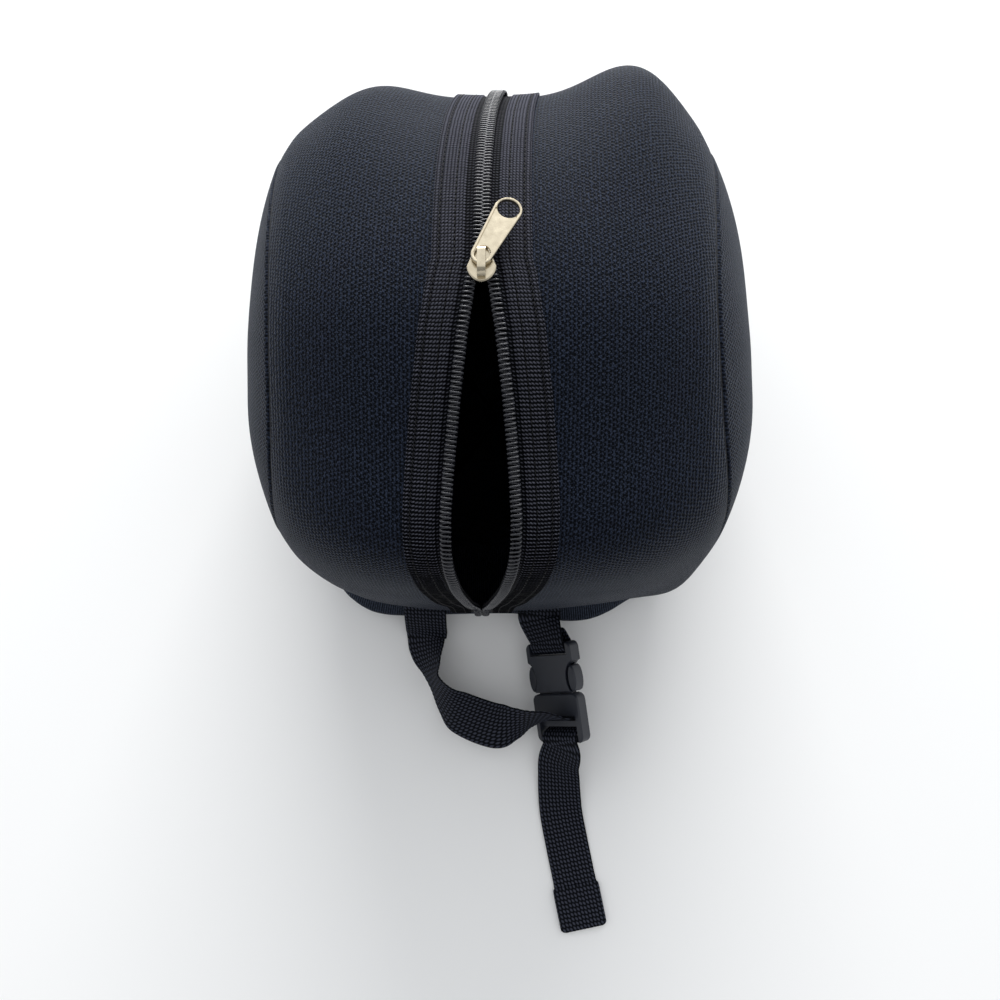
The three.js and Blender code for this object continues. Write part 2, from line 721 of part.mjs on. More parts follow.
bridgeShape.quadraticCurveTo(BRIDGE.frontY, BRIDGE.top, BRIDGE.frontY + BRIDGE.frontRound, BRIDGE.top);
bridgeShape.lineTo(BRIDGE.rearY - BRIDGE.rearRound, BRIDGE.top);
bridgeShape.quadraticCurveTo(BRIDGE.rearY, BRIDGE.top, BRIDGE.rearY, BRIDGE.top - BRIDGE.rearRound);
bridgeShape.lineTo(BRIDGE.rearY, bridgeBase);
bridgeShape.lineTo(BRIDGE.rearY - BRIDGE.foot, bridgeBase);
bridgeShape.lineTo(BRIDGE.rearY - BRIDGE.foot, BRIDGE.clear);
bridgeShape.lineTo(BRIDGE.frontY + BRIDGE.foot, BRIDGE.clear);
bridgeShape.lineTo(BRIDGE.frontY + BRIDGE.foot, bridgeBase);
const bridgeGeometry = new THREE.ExtrudeGeometry(bridgeShape, {
  depth: 2 * BRIDGE.half,
  bevelEnabled: false,
  curveSegments: 5,
});
bridgeGeometry.translate(0, 0, -BRIDGE.half);
bridgeGeometry.applyMatrix4(new THREE.Matrix4().makeBasis(
  new THREE.Vector3(0, 1, 0),
  new THREE.Vector3(0, 0, 1),
  new THREE.Vector3(1, 0, 0),
));
const sliderSolid = topPlate.add(underPlate).add(post).add(solid(bridgeGeometry));
addMesh("zip_slider", geometryOf(sliderSolid), "nickel", sliderPlace);

// Pull tab, hooked under the bridge and lying back over the closed zip
const pullPlace = new THREE.Group();
pullPlace.position.set(PULL.barX, PULL.barY, PULL.barHeight);
const droop = THREE.MathUtils.degToRad(PULL.droopDeg);
const turn = THREE.MathUtils.degToRad(PULL.turnDeg);
pullPlace.rotation.set(-droop, 0, -turn, "ZXY");
sliderPlace.add(pullPlace);

const tab = new THREE.Shape();
tab.absarc(0, PULL.tipY, PULL.tipHalf, 0, Math.PI);
tab.absarc(0, PULL.neckY, PULL.neckHalf, Math.PI, 2 * Math.PI);
const hookSlot = new THREE.Path();
hookSlot.absarc(0, PULL.neckY, PULL.slotHalf, Math.PI, 2 * Math.PI);
hookSlot.absarc(0, PULL.slotEndY, PULL.slotHalf, 0, Math.PI);
const tipHole = new THREE.Path();
tipHole.absellipse(0, PULL.tipY + PULL.holeShift, PULL.holeHalf, PULL.holeRound, 0, 2 * Math.PI);
tab.holes.push(hookSlot, tipHole);
const panel = new THREE.Shape();
panel.absarc(0, PULL.neckY, PULL.neckHalf - PULL.rim, Math.PI, 2 * Math.PI);
panel.lineTo(PULL.tipHalf - PULL.rim, PULL.tipY - PULL.recessEnd);
panel.lineTo(PULL.rim - PULL.tipHalf, PULL.tipY - PULL.recessEnd);
const recess = plate(panel, PULL.thick / 2 - PULL.recessDeep, PULL.thick / 2 + CUT_LAP, 0, 8);
const tabSolid = plate(tab, -PULL.thick / 2, PULL.thick / 2, PULL.bevel, 10).subtract(recess);
addMesh("zip_pull", geometryOf(tabSolid), "nickel", pullPlace);

// Buckle: x across it, y from the clip towards the bag, z out of its face
const heading = THREE.MathUtils.degToRad(BUCKLE.headingDeg);
const roll = THREE.MathUtils.degToRad(BUCKLE.rollDeg);
const buckleAlong = new THREE.Vector3(-Math.sin(heading), Math.cos(heading), 0);
const buckleLevel = new THREE.Vector3(Math.cos(heading), Math.sin(heading), 0);
const buckleAcross = buckleLevel.clone().multiplyScalar(Math.cos(roll));
buckleAcross.z = Math.sin(roll);
const buckleFace = new THREE.Vector3().crossVectors(buckleAcross, buckleAlong);
const buckleMiddle = new THREE.Vector3(BUCKLE.x, BUCKLE.y, BUCKLE.z);
const bucklePlace = new THREE.Group();
const buckleBasis = new THREE.Matrix4().makeBasis(buckleAcross, buckleAlong, buckleFace);
bucklePlace.quaternion.setFromRotationMatrix(buckleBasis);
bucklePlace.position.copy(buckleMiddle);
bag.add(bucklePlace);

// Socket with its cavity, side openings and strap slot
const socketOutline = roundedRectangle(SOCKET.half, SOCKET.from, SOCKET.to, SOCKET.corner);
let socket = plate(socketOutline, -SOCKET.halfThick, SOCKET.halfThick, BEVEL, 4);
const cavityHeight = SOCKET.cavityHalfThick;
socket = socket.subtract(
  block(-SOCKET.cavityHalf, SOCKET.cavityHalf, 0, SOCKET.cavityTo, -cavityHeight, cavityHeight),
);
const slotHalf = SOCKET.slotHalf;
socket = socket.subtract(block(-slotHalf, slotHalf, SOCKET.slotFrom, SOCKET.slotTo, -CUT_HALF, CUT_HALF));
const barEdge = SOCKET.slotTo - CUT_LAP;
const socketEnd = SOCKET.to + CUT_LAP;
socket = socket.subtract(block(-slotHalf, slotHalf, barEdge, socketEnd, SOCKET.barThick, CUT_HALF));
socket = socket.subtract(block(-slotHalf, slotHalf, barEdge, socketEnd, -CUT_HALF, -SOCKET.barThick));
for (const sign of [-1, 1]) {
  const bite = new THREE.Shape();
  const { biteX, biteY, biteHalf, biteRound } = SOCKET;
  bite.absellipse(sign * biteX, biteY, biteHalf, biteRound, 0, 2 * Math.PI);
  socket = socket.subtract(plate(bite, -CUT_HALF, CUT_HALF, 0, 14));
}
addMesh("buckle_socket", geometryOf(socket), "buckle", bucklePlace);

// Clip with its strap bars, tongue and two springy arms
const clipOutline = roundedRectangle(CLIP.half, CLIP.from, CLIP.to, CLIP.corner);
let clip = plate(clipOutline, -CLIP.halfThick, CLIP.halfThick, BEVEL, 4);
for (const slot of CLIP.slots) {
  clip = clip.subtract(block(-CLIP.slotHalf, CLIP.slotHalf, slot.from, slot.to, -CUT_HALF, CUT_HALF));
}
const [nearSlot, farSlot] = CLIP.slots;
const barFrom = farSlot.to - CUT_LAP;
const barTo = nearSlot.from + CUT_LAP;
const clipEnd = CLIP.from - CUT_LAP;
const endBarTo = farSlot.from + CUT_LAP;
clip = clip.subtract(block(-CLIP.slotHalf, CLIP.slotHalf, barFrom, barTo, CLIP.barThick, CUT_HALF));
clip = clip.subtract(block(-CLIP.slotHalf, CLIP.slotHalf, barFrom, barTo, -CUT_HALF, -CLIP.barThick));
clip = clip.subtract(block(-CLIP.slotHalf, CLIP.slotHalf, clipEnd, endBarTo, CLIP.endBarTop, CUT_HALF));
const armHeight = CLIP.armHalfThick;
const tongueHalf = CLIP.tongueHalf;
clip = clip.add(block(-tongueHalf, tongueHalf, CLIP.tongueFrom, CLIP.tongueTo, -armHeight, armHeight));
for (const sign of [-1, 1]) {
  const pad = new THREE.Shape();
  pad.absellipse(sign * PAD.x, PAD.y, PAD.half, PAD.round, 0, 2 * Math.PI);
  const around = new THREE.Shape();
  around.absellipse(sign * PAD.x, PAD.y, PAD.half + PAD.clear, PAD.round + PAD.clear, 0, 2 * Math.PI);
  clip = clip.subtract(plate(around, -CUT_HALF, CUT_HALF, 0, 14));
  clip = clip.add(plate(outline(ARM, sign), -armHeight, armHeight));
  clip = clip.add(plate(pad, -CLIP.padHalfThick, CLIP.padHalfThick, BEVEL, 8));
}
addMesh("buckle_clip", geometryOf(clip), "buckle", bucklePlace);

// A row of a strap where it runs through the buckle
function buckleRow(row) {
  const point = buckleMiddle.clone();
  point.addScaledVector(buckleAlong, row.along);
  point.addScaledVector(buckleFace, row.height);
  const [wx, wy, wz] = buckleAcross.toArray();
  return { x: point.x, y: point.y, z: point.z, wx, wy, wz, layers: 1, wide: 1 };
}

// A row of a strap where it leaves the front seam, its width turning from the rim line into the buckle's
function legRow(row, across) {
  const rim = skinPoint(0, across, 0);
  const halfWidth = WEB_WIDTH / 2;
  const width = skinPoint(0, across + halfWidth, 0).sub(skinPoint(0, across - halfWidth, 0)).normalize();
  width.lerp(buckleAcross, row.turn).normalize();
  const [wx, wy, wz] = width.toArray();
  return { x: rim.x, y: rim.y - row.out, z: row.z, wx, wy, wz, layers: 1, wide: 1 };
}

// Webbing swept through its rows: a flat section whose width follows the table
function strapGeometry(rows) {
  const last = rows.length - 1;
  const numbered = rows.map((row, index) => ({ ...row, index }));
  const at = (column, place) => tableValue(numbered, "index", column, Math.min(Math.max(place, 0), last));
  const middle = (place) => new THREE.Vector3(at("x", place), at("y", place), at("z", place));
  const sections = [];
  for (let i = 0; i <= last * STRAP_STEPS; i += 1) {
    const place = i / STRAP_STEPS;
    const ahead = middle(Math.min(place + TANGENT_STEP, last));
    const tangent = ahead.sub(middle(Math.max(place - TANGENT_STEP, 0))).normalize();
    const width = new THREE.Vector3(at("wx", place), at("wy", place), at("wz", place));
    width.addScaledVector(tangent, -SQUARING * width.dot(tangent)).normalize();
    const face = new THREE.Vector3().crossVectors(tangent, width).normalize();
    const halfThick = (WEB_THICK * at("layers", place)) / 2;
    const corner = (w, f) => middle(place)
      .addScaledVector(width, (w * WEB_WIDTH * at("wide", place)) / 2)
      .addScaledVector(face, f * halfThick);
    sections.push([corner(-1, 1), corner(0, 1), corner(1, 1), corner(1, -1), corner(0, -1), corner(-1, -1)]);
  }
  return stripGeometry(sections);
}

// Long strap: left leg, turned loop, clip, free end
const longRows = STRAP_LEG.map((row) => legRow(row, -LEG_ACROSS));
longRows.push(...STRAP_LOOP, ...STRAP_CLIP.map(buckleRow), ...STRAP_TAIL);
addMesh("strap_long", strapGeometry(longRows), "webbing");

// Short strap: right leg, over the socket's bar and back under it
const shortRows = SHORT_LEG.map((row) => legRow(row, LEG_ACROSS));
shortRows.push(...STRAP_SOCKET.map(buckleRow));
addMesh("strap_short", strapGeometry(shortRows), "webbing");

export default bag;
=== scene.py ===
import bpy
import numpy as np
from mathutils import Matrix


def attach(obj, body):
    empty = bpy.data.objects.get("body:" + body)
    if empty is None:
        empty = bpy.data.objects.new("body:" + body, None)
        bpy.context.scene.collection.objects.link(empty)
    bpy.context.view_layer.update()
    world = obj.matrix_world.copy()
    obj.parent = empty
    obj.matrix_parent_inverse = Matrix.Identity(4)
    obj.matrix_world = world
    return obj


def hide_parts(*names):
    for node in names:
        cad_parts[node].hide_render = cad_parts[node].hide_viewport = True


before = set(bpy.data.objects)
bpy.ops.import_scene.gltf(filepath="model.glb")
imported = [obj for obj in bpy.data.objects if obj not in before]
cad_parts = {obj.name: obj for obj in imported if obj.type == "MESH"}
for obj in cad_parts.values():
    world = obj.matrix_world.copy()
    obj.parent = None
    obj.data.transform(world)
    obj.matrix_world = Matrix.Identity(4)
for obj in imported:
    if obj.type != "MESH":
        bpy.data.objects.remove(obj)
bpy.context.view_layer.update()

# Gusset: two strips of 3 mm spacer mesh, a springy knitted cloth with rows of small holes. Each is sewn to a
# zip tape along one edge and to a side panel along the other, and runs from the front rim over the top to the
# back rim. All lengths in the tables are millimetres.
MM = 0.001
WALL = 3.0
SEAM_CLEAR = 0.3
MESH_EDGE = 7.0
LEVEL_END = 0.12
GROOVE_DEPTH = 2.2
GROOVE_WIDTH = 5.0
GUSSET_ROWS = 260
GUSSET_COLUMNS = 60
ROUND_STEPS = 5
LINE_POINTS = 2001
LINE_STEP = 0.01

# Sections along the zip line: its place, half the bag's width and the lean of its middle, the seam's place,
# and the power of the fall from zip line to seam.
X, Y, Z, SEAM_X, LEAN, SEAM_Y, SEAM_Z, POWER = range(8)
SECTIONS = np.array([
    [-10.5, -121, 23, 97, 0, -103, 23, 2.8],
    [-9.5, -117.5, 74, 98, 0, -101, 73, 4.4],
    [-8.4, -114, 142, 96, 0, -90, 134, 3.8],
    [-7, -102, 192, 90, 0, -74, 172, 3.2],
    [-6.4, -62, 210, 86, 1.3, -44, 189, 2.6],
    [-6.2, -14, 221, 84.5, 2.6, -6, 197, 2.6],
    [-6.1, 34, 212, 88, 2.6, 36, 188, 2.8],
    [-4, 74, 191, 93, 1.6, 74, 166, 3.8],
    [0, 103, 162, 96, 0.6, 98, 134, 4.6],
    [0, 122, 104, 98, 0, 106, 86, 4.8],
    [0, 118, 23, 97, 0, 104, 23, 5],
])
# Dents and bulges: along and its reach are shares of the zip line.
SWELLINGS = [
    {"across": -52, "spread": 21, "along": 0.735, "reach": 0.12, "height": 6},
    {"across": 58, "spread": 25, "along": 0.735, "reach": 0.12, "height": 14.5},
    {"across": 100, "spread": 14, "along": 0.1, "reach": 0.075, "height": 4},
    {"across": -92, "spread": 18, "along": 0.1, "reach": 0.075, "height": -10.5},
]
# The slider's share of the zip line, and by distance before it half the clear width of the open zip.
SLIDER_AT = 0.5085
ZIP_OPENING = np.array([
    [-3, 0], [3, 1.3], [9, 2.3], [22, 4.3], [46, 7], [78, 9.7], [95, 10.3], [106, 9.5],
    [118, 7.8], [138, 5.9], [162, 3.6], [196, 1.4], [236, 0], [270, 0],
])


def between_rows(rows, place):
    """Values between the rows of a table: on each span a cubic through both rows, whose slope at a row is
    that of the straight line from the row before it to the row after it."""
    rows = np.asarray(rows, float)
    last = len(rows) - 1
    place = np.clip(np.asarray(place, float), 0, last)
    i = np.minimum(place.astype(int), last - 1)
    t = (place - i)[..., None]
    slope = np.gradient(rows, axis=0)
    rise = rows[i + 1] - rows[i]
    bend = t * (1 - t) * ((1 - t) * (slope[i] - rise) - t * (slope[i + 1] - rise))
    return rows[i] + rise * t + bend


def by_key(rows, at):
    """The second column of a table at a value of its first column."""
    return between_rows(rows, np.interp(at, rows[:, 0], np.arange(len(rows))))[..., 1]


def smooth_step(value, low, high):
    """0 below low, 1 above high and an S-shaped cubic between them."""
    t = np.clip((value - low) / (high - low), 0, 1)
    return t * t * (3 - 2 * t)


def run_along(points):
    """The distance along a line of points, added up from its first point."""
    return np.concatenate([[0], np.cumsum(np.linalg.norm(np.diff(points, axis=0), axis=1))])


def unit(vectors):
    """Vectors brought to a length of 1."""
    return vectors / np.linalg.norm(vectors, axis=-1, keepdims=True)


line_places = np.linspace(0, len(SECTIONS) - 1, LINE_POINTS)
line_run = run_along(between_rows(SECTIONS[:, :3], line_places))
ZIP_LENGTH = line_run[-1]


def section_at(along):
    """The row of SECTIONS at a share of the zip line's length, and that line's direction there."""
    place = np.interp(along * ZIP_LENGTH, line_run, line_places)
    ahead = between_rows(SECTIONS, np.minimum(place + LINE_STEP, len(SECTIONS) - 1))
    behind = between_rows(SECTIONS, np.maximum(place - LINE_STEP, 0))
    line = ahead[..., :3] - behind[..., :3]
    return between_rows(SECTIONS, place), unit(line)


def seam_half(along, side):
    """Distance from the zip line to the seam on one side, -1 or 1: half the bag's width, less how far the zip
    line and the lean lie to that side."""
    row, _ = section_at(along)
    return row[..., SEAM_X] - side * (row[..., X] + row[..., LEAN])


def skin(along, across, rise):
    """A point of the bag. along is a share of the zip line, across the distance from that line. The skin
    falls from the zip line to the seam by the share across raised to the section's power. rise moves the
    point out from it, less a groove beside the seam and plus each swelling, both bell curves."""
    along, across, rise = (part.astype(float) for part in np.broadcast_arrays(along, across, rise))
    row, line = section_at(along)
    half = row[..., SEAM_X] - np.sign(across) * (row[..., X] + row[..., LEAN])
    share = np.abs(across) / half
    level = smooth_step(np.minimum(along, 1 - along), 0, LEVEL_END)
    out_y = -line[..., 2]
    out_z = line[..., 1] * level
    length = np.hypot(out_y, out_z)
    total = rise - GROOVE_DEPTH * np.exp(-(((1 - share) * half / GROOVE_WIDTH) ** 2))
    for swelling in SWELLINGS:
        off_across = (across - swelling["across"]) / swelling["spread"]
        off_along = (along - swelling["along"]) / swelling["reach"]
        total = total + swelling["height"] * np.exp(-(off_across ** 2 + off_along ** 2))
    fall = share ** row[..., POWER]
    y = row[..., Y] + (row[..., SEAM_Y] - row[..., Y]) * fall + out_y / length * total
    z = row[..., Z] + (row[..., SEAM_Z] - row[..., Z]) * fall + out_z / length * total
    return np.stack([row[..., X] + across, y, z], axis=-1)


def zip_half(along):
    """Half the clear width between the two zip strands: the table of openings read by the distance before the
    slider."""
    return np.maximum(by_key(ZIP_OPENING, (SLIDER_AT - np.asarray(along)) * ZIP_LENGTH), 0)


def round_steps(radius):
    """Distances from an edge that is rounded: the feet of equal steps round a quarter circle."""
    return radius * (1 - np.cos(np.linspace(0, np.pi / 2, ROUND_STEPS)))


def edge_steps(length, radius, count):
    """Distances along a strip of cloth: evenly spread, and closer together within radius of either end."""
    near = round_steps(radius)
    middle = np.linspace(radius, length - radius, count)[1:-1]
    return np.concatenate([near, middle, length - near[::-1]])


def rounded(distance, half):
    """Half thickness of cloth at a distance from its edge: a quarter circle up to the full half thickness."""
    t = np.clip(distance / half, 0, 1)
    return half * np.sqrt(np.maximum(1 - (1 - t) ** 2, 0))


def grid_normals(points, closed=False):
    """Unit normals of a grid of points: the cross product of the steps along its rows and its columns."""
    if closed:
        wide = np.concatenate([points[:, -1:], points, points[:, :1]], axis=1)
        across = np.gradient(wide, axis=1)[:, 1:-1]
    else:
        across = np.gradient(points, axis=1)
    normal = np.cross(np.gradient(points, axis=0), across)
    return normal / np.maximum(np.linalg.norm(normal, axis=-1, keepdims=True), 1e-12)


def quads(numbers, places):
    """The faces between neighbouring rows and columns of a grid of vertex numbers, with each corner's place
    on the cloth."""
    faces = [numbers[:-1, :-1], numbers[1:, :-1], numbers[1:, 1:], numbers[:-1, 1:]]
    corners = [places[:-1, :-1], places[1:, :-1], places[1:, 1:], places[:-1, 1:]]
    return np.stack(faces, axis=2).reshape(-1, 4), np.stack(corners, axis=2).reshape(-1, 4, 2)


def put_mesh(name, points, patches):
    """A mesh object from points in millimetres and patches of faces. All faces are turned over if the volume
    that they close comes out negative, so that they point outwards."""
    points = np.asarray(points, float) * MM
    volume = 0.0
    for faces, _ in patches:
        a, b, c, d = (points[faces[:, k]] for k in (0, 1, 2, faces.shape[1] - 1))
        volume += np.einsum("ij,ij->", a, np.cross(b, c)) + np.einsum("ij,ij->", a, np.cross(c, d))
    if volume < 0:
        patches = [(faces[:, ::-1], places[:, ::-1]) for faces, places in patches]
    mesh = bpy.data.meshes.new(name)
    mesh.from_pydata(points.tolist(), [], [face for faces, _ in patches for face in faces.tolist()])
    layer = mesh.uv_layers.new(name="cloth")
    places = np.concatenate([places.reshape(-1, 2) for _, places in patches]) * MM
    layer.data.foreach_set("uv", places.astype(np.float32).ravel())
    mesh.polygons.foreach_set("use_smooth", np.ones(len(mesh.polygons), bool))
    piece = bpy.data.objects.new(name, mesh)
    bpy.context.scene.collection.objects.link(piece)
    return piece


def cloth_strip(name, middle, half, places):
    """A strip of cloth with thickness: two faces, each half thickness away from a middle grid along its
    normals, that share the grid's edge, where the half thickness is nought."""
    rows, columns = half.shape
    out = grid_normals(middle) * half[..., None]
    numbers = np.arange(rows * columns).reshape(rows, columns)
    inside = np.arange((rows - 2) * (columns - 2)).reshape(rows - 2, columns - 2)
    under = numbers.copy()
    under[1:-1, 1:-1] = rows * columns + inside
    points = np.concatenate([(middle + out).reshape(-1, 3), (middle - out)[1:-1, 1:-1].reshape(-1, 3)])
    return put_mesh(name, points, [quads(numbers, places), quads(under[:, ::-1], places[:, ::-1])])


def linear(code):
    """An sRGB hex colour as linear red, green, blue and alpha."""
    srgb = np.array([int(code[k:k + 2], 16) for k in (1, 3, 5)]) / 255
    rgb = np.where(srgb <= 0.04045, srgb / 12.92, ((srgb + 0.055) / 1.055) ** 2.4)
    return (*rgb.tolist(), 1.0)


def add_node(material, kind, settings=None, links=None):
    """Adds one node. settings holds its own properties, the values of its inputs by socket name or number,
    and as ramp the places and colours of a colour ramp; links joins its inputs to other nodes' outputs."""
    node = material.node_tree.nodes.new(kind)
    for key, value in (settings or {}).items():
        if key == "ramp":
            for stop, (position, colour) in zip(node.color_ramp.elements, value):
                stop.position = position
                stop.color = linear(colour)
        elif isinstance(key, str) and hasattr(node, key):
            setattr(node, key, value)
        else:
            node.inputs[key].default_value = value
    for key, socket in (links or {}).items():
        material.node_tree.links.new(socket, node.inputs[key])
    return node


def new_material(name, finish):
    """A material with one Principled shader, whose plain values are set from a table."""
    material = bpy.data.materials.new(name)
    material.use_nodes = True
    for key, value in finish.items():
        material.node_tree.nodes["Principled BSDF"].inputs[key].default_value = value
    return material


def feed_shader(material, links):
    """Joins other nodes' outputs to the inputs of a material's Principled shader."""
    for key, socket in links.items():
        material.node_tree.links.new(socket, material.node_tree.nodes["Principled BSDF"].inputs[key])


# Knitted polyester spacer mesh: matt yarn round rows of dark holes, every other row set half a hole along.
# The columns of yarn run over the top beside the zip, and a thin nap catches light that grazes the cloth. The
# pattern is laid out on the cloth's own map, which is in metres.
HOLE_ACROSS = 0.00142
HOLE_ALONG = 0.00168
KNIT_FINISH = {
    "Roughness": 0.6,
    "IOR": 1.5,
    "Specular IOR Level": 0.05,
    "Sheen Weight": 0.14,
    "Sheen Roughness": 0.25,
    "Sheen Tint": linear("#c3cbd8"),
}
spacer_mesh = new_material("knitted_polyester_spacer_mesh", KNIT_FINISH)
cloth = add_node(spacer_mesh, "ShaderNodeUVMap", {"uv_map": "cloth"})
split = add_node(spacer_mesh, "ShaderNodeSeparateXYZ", None, {0: cloth.outputs[0]})
column = add_node(spacer_mesh, "ShaderNodeMath", {"operation": "MULTIPLY", 1: 1 / HOLE_ACROSS}, {
    0: split.outputs[0],
})
column_number = add_node(spacer_mesh, "ShaderNodeMath", {"operation": "FLOOR"}, {0: column.outputs[0]})
odd = add_node(spacer_mesh, "ShaderNodeMath", {"operation": "FLOORED_MODULO", 1: 2.0}, {
    0: column_number.outputs[0],
})
shift = add_node(spacer_mesh, "ShaderNodeMath", {"operation": "MULTIPLY", 1: 0.5}, {0: odd.outputs[0]})
row = add_node(spacer_mesh, "ShaderNodeMath", {"operation": "MULTIPLY_ADD", 1: 1 / HOLE_ALONG}, {
    0: split.outputs[1],
    2: shift.outputs[0],
})
place = add_node(spacer_mesh, "ShaderNodeCombineXYZ", None, {0: column.outputs[0], 1: row.outputs[0]})
holes = add_node(spacer_mesh, "ShaderNodeTexVoronoi", {
    "voronoi_dimensions": "2D",
    "Scale": 1.0,
    "Randomness": 0.3,
}, {"Vector": place.outputs[0]})
yarn = add_node(spacer_mesh, "ShaderNodeMapRange", {
    "interpolation_type": "SMOOTHSTEP",
    "From Min": 0.22,
    "From Max": 0.56,
}, {"Value": holes.outputs["Distance"]})
fuzz = add_node(spacer_mesh, "ShaderNodeTexNoise", {"Scale": 1700.0, "Detail": 3.0}, {
    "Vector": cloth.outputs[0],
})
yarn_colour = add_node(spacer_mesh, "ShaderNodeValToRGB", {"ramp": ((0.36, "#080c15"), (0.64, "#2f3748"))}, {
    0: fuzz.outputs[0],
})
mesh_colour = add_node(spacer_mesh, "ShaderNodeMix", {"data_type": "RGBA", 6: linear("#020409")}, {
    0: yarn.outputs[0],
    7: yarn_colour.outputs[0],
})
relief = add_node(spacer_mesh, "ShaderNodeMath", {"operation": "MULTIPLY_ADD", 1: 0.3}, {
    0: fuzz.outputs[0],
    2: yarn.outputs[0],
})
bump = add_node(spacer_mesh, "ShaderNodeBump", {"Strength": 0.7, "Distance": 0.0005}, {
    "Height": relief.outputs[0],
})
feed_shader(spacer_mesh, {"Base Color": mesh_colour.outputs[2], "Normal": bump.outputs[0]})


def dress(piece, material, node):
    """Gives a piece of the bag its material, attaches it to the bag's body and hides the node that it
    replaces.
    """
    piece.data.materials.append(material)
    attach(piece, "bag")
    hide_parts(node)


run = edge_steps(ZIP_LENGTH, WALL / 2, GUSSET_ROWS)
along = (run / ZIP_LENGTH)[:, None]
near = round_steps(WALL / 2)
between = np.linspace(0, 1, GUSSET_COLUMNS)[1:-1]
for name, side in (("gusset_left", -1), ("gusset_right", 1)):
    inner = zip_half(along) + MESH_EDGE
    outer = seam_half(along, side) - SEAM_CLEAR
    across = np.concatenate([
        inner + near,
        inner + WALL / 2 + (outer - inner - WALL) * between,
        outer - near[::-1],
    ], axis=1)
    from_side = np.minimum(across - inner, outer - across)
    from_end = np.minimum(run, ZIP_LENGTH - run)[:, None]
    half = rounded(np.minimum(from_side, from_end), WALL / 2)
    middle = skin(along, side * across, -WALL / 2)
    places = np.stack(np.broadcast_arrays(side * across, run[:, None]), axis=-1)
    piece = cloth_strip(name + "_cloth", middle, half, places)
    dress(piece, spacer_mesh, name)

# Side panels: the same spacer mesh, cut round at the top, sewn into the gusset's seams and pushed outwards by
# the springy cloth, like a sheet held at its edge under an even load.
SIDES = [
    {"name": "side_left", "side": -1, "x": 119, "y": 2, "z": 108, "rim_swell": 14},
    {"name": "side_right", "side": 1, "x": 120, "y": 2, "z": 108, "rim_swell": 14},
]
SIDE_RINGS = 34
SIDE_NET_RINGS = 13
SIDE_INNER = 0.96
SIDE_ROUND = 0.018
SIDE_FULLNESS = 1.45
SIDE_EDGE_POINTS = 150
SIDE_RIM_POINTS = 50


def side_edge(panel, depth):
    """The edge of a side panel as a closed line: up and over along the seam, then back along the rim, which
    swells outwards as half a sine wave."""
    along = np.linspace(0, 1, SIDE_EDGE_POINTS)
    seam = skin(along, panel["side"] * (seam_half(along, panel["side"]) + SEAM_CLEAR), -depth)
    share = np.linspace(0, 1, SIDE_RIM_POINTS + 1)[1:-1, None]
    rim = seam[-1] + (seam[0] - seam[-1]) * share
    rim[:, 0] += panel["side"] * panel["rim_swell"] * np.sin(np.pi * share[:, 0])
    return np.concatenate([seam, rim])


def held_sheet(flat, edge_values, load):
    """Heights of a sheet over rings of points in the flat, held at the edge ring and pushed by an even load.
    Every other point balances the pulls of its neighbours, each as strong as the link is wide over its
    length, against the load on the area round it."""
    links = np.linalg.norm(np.diff(flat, axis=0), axis=-1)
    arcs = np.linalg.norm(np.roll(flat, -1, axis=1) - flat, axis=-1)
    cells = (arcs + np.roll(arcs, 1, axis=1)) / 2
    depths = (links + np.concatenate([links[1:], links[-1:]])) / 2
    pull_out = (cells[:-1] + cells[1:]) / 2 / links
    pull_beside = depths / arcs[1:]
    rings, size = links.shape
    numbers = np.arange(rings * size).reshape(rings, size)
    pairs = [
        (numbers[1:], numbers[:-1], pull_out[1:]),
        (numbers, np.roll(numbers, -1, axis=1), pull_beside),
    ]
    balance = np.zeros((rings * size, rings * size))
    for first, second, pull in pairs:
        for a, b in ((first, second), (second, first)):
            np.add.at(balance, (a, b), -pull)
            np.add.at(balance, (a, a), pull)
    balance[numbers[0], numbers[0]] += pull_out[0]
    pushed = load * (cells[1:] * depths).ravel()
    pushed[numbers[0]] += pull_out[0] * edge_values
    heights = np.linalg.solve(balance, pushed).reshape(rings, size)
    return np.concatenate([edge_values[None], heights])


def wrap(grid):
    """A grid of closed rows: its first column comes again after its last."""
    return np.concatenate([grid, grid[:, :1]], axis=1)


def fan(ring, middle, ring_places):
    """Triangles from each step of a ring of vertex numbers to one middle vertex, whose place on the cloth is
    the mean of the ring's."""
    count = len(ring) - 1
    faces = np.stack([ring[1:], ring[:-1], np.full(count, middle)], axis=1)
    middles = np.broadcast_to(ring_places[:-1].mean(0), (count, 2))
    return faces, np.stack([ring_places[1:], ring_places[:-1], middles], axis=1)


def cloth_round(name, outer, inner, places):
    """A round panel of cloth with thickness: an outer and an inner set of rings that share their first ring,
    each closed by a middle point that is the mean of its last ring."""
    rings, size = outer.shape[:2]
    numbers = np.arange(rings * size).reshape(rings, size)
    under = numbers + (rings - 1) * size
    under[0] = numbers[0]
    points = np.concatenate([
        outer.reshape(-1, 3),
        inner[1:].reshape(-1, 3),
        outer[-1].mean(0)[None],
        inner[-1].mean(0)[None],
    ])
    tops = wrap(numbers)
    unders = wrap(under)
    top_pole = len(points) - 2
    under_pole = len(points) - 1
    return put_mesh(name, points, [
        quads(tops, places),
        fan(tops[-1], top_pole, places[-1]),
        quads(unders[:, ::-1], places[:, ::-1]),
        fan(unders[-1, ::-1], under_pole, places[-1, ::-1]),
    ])


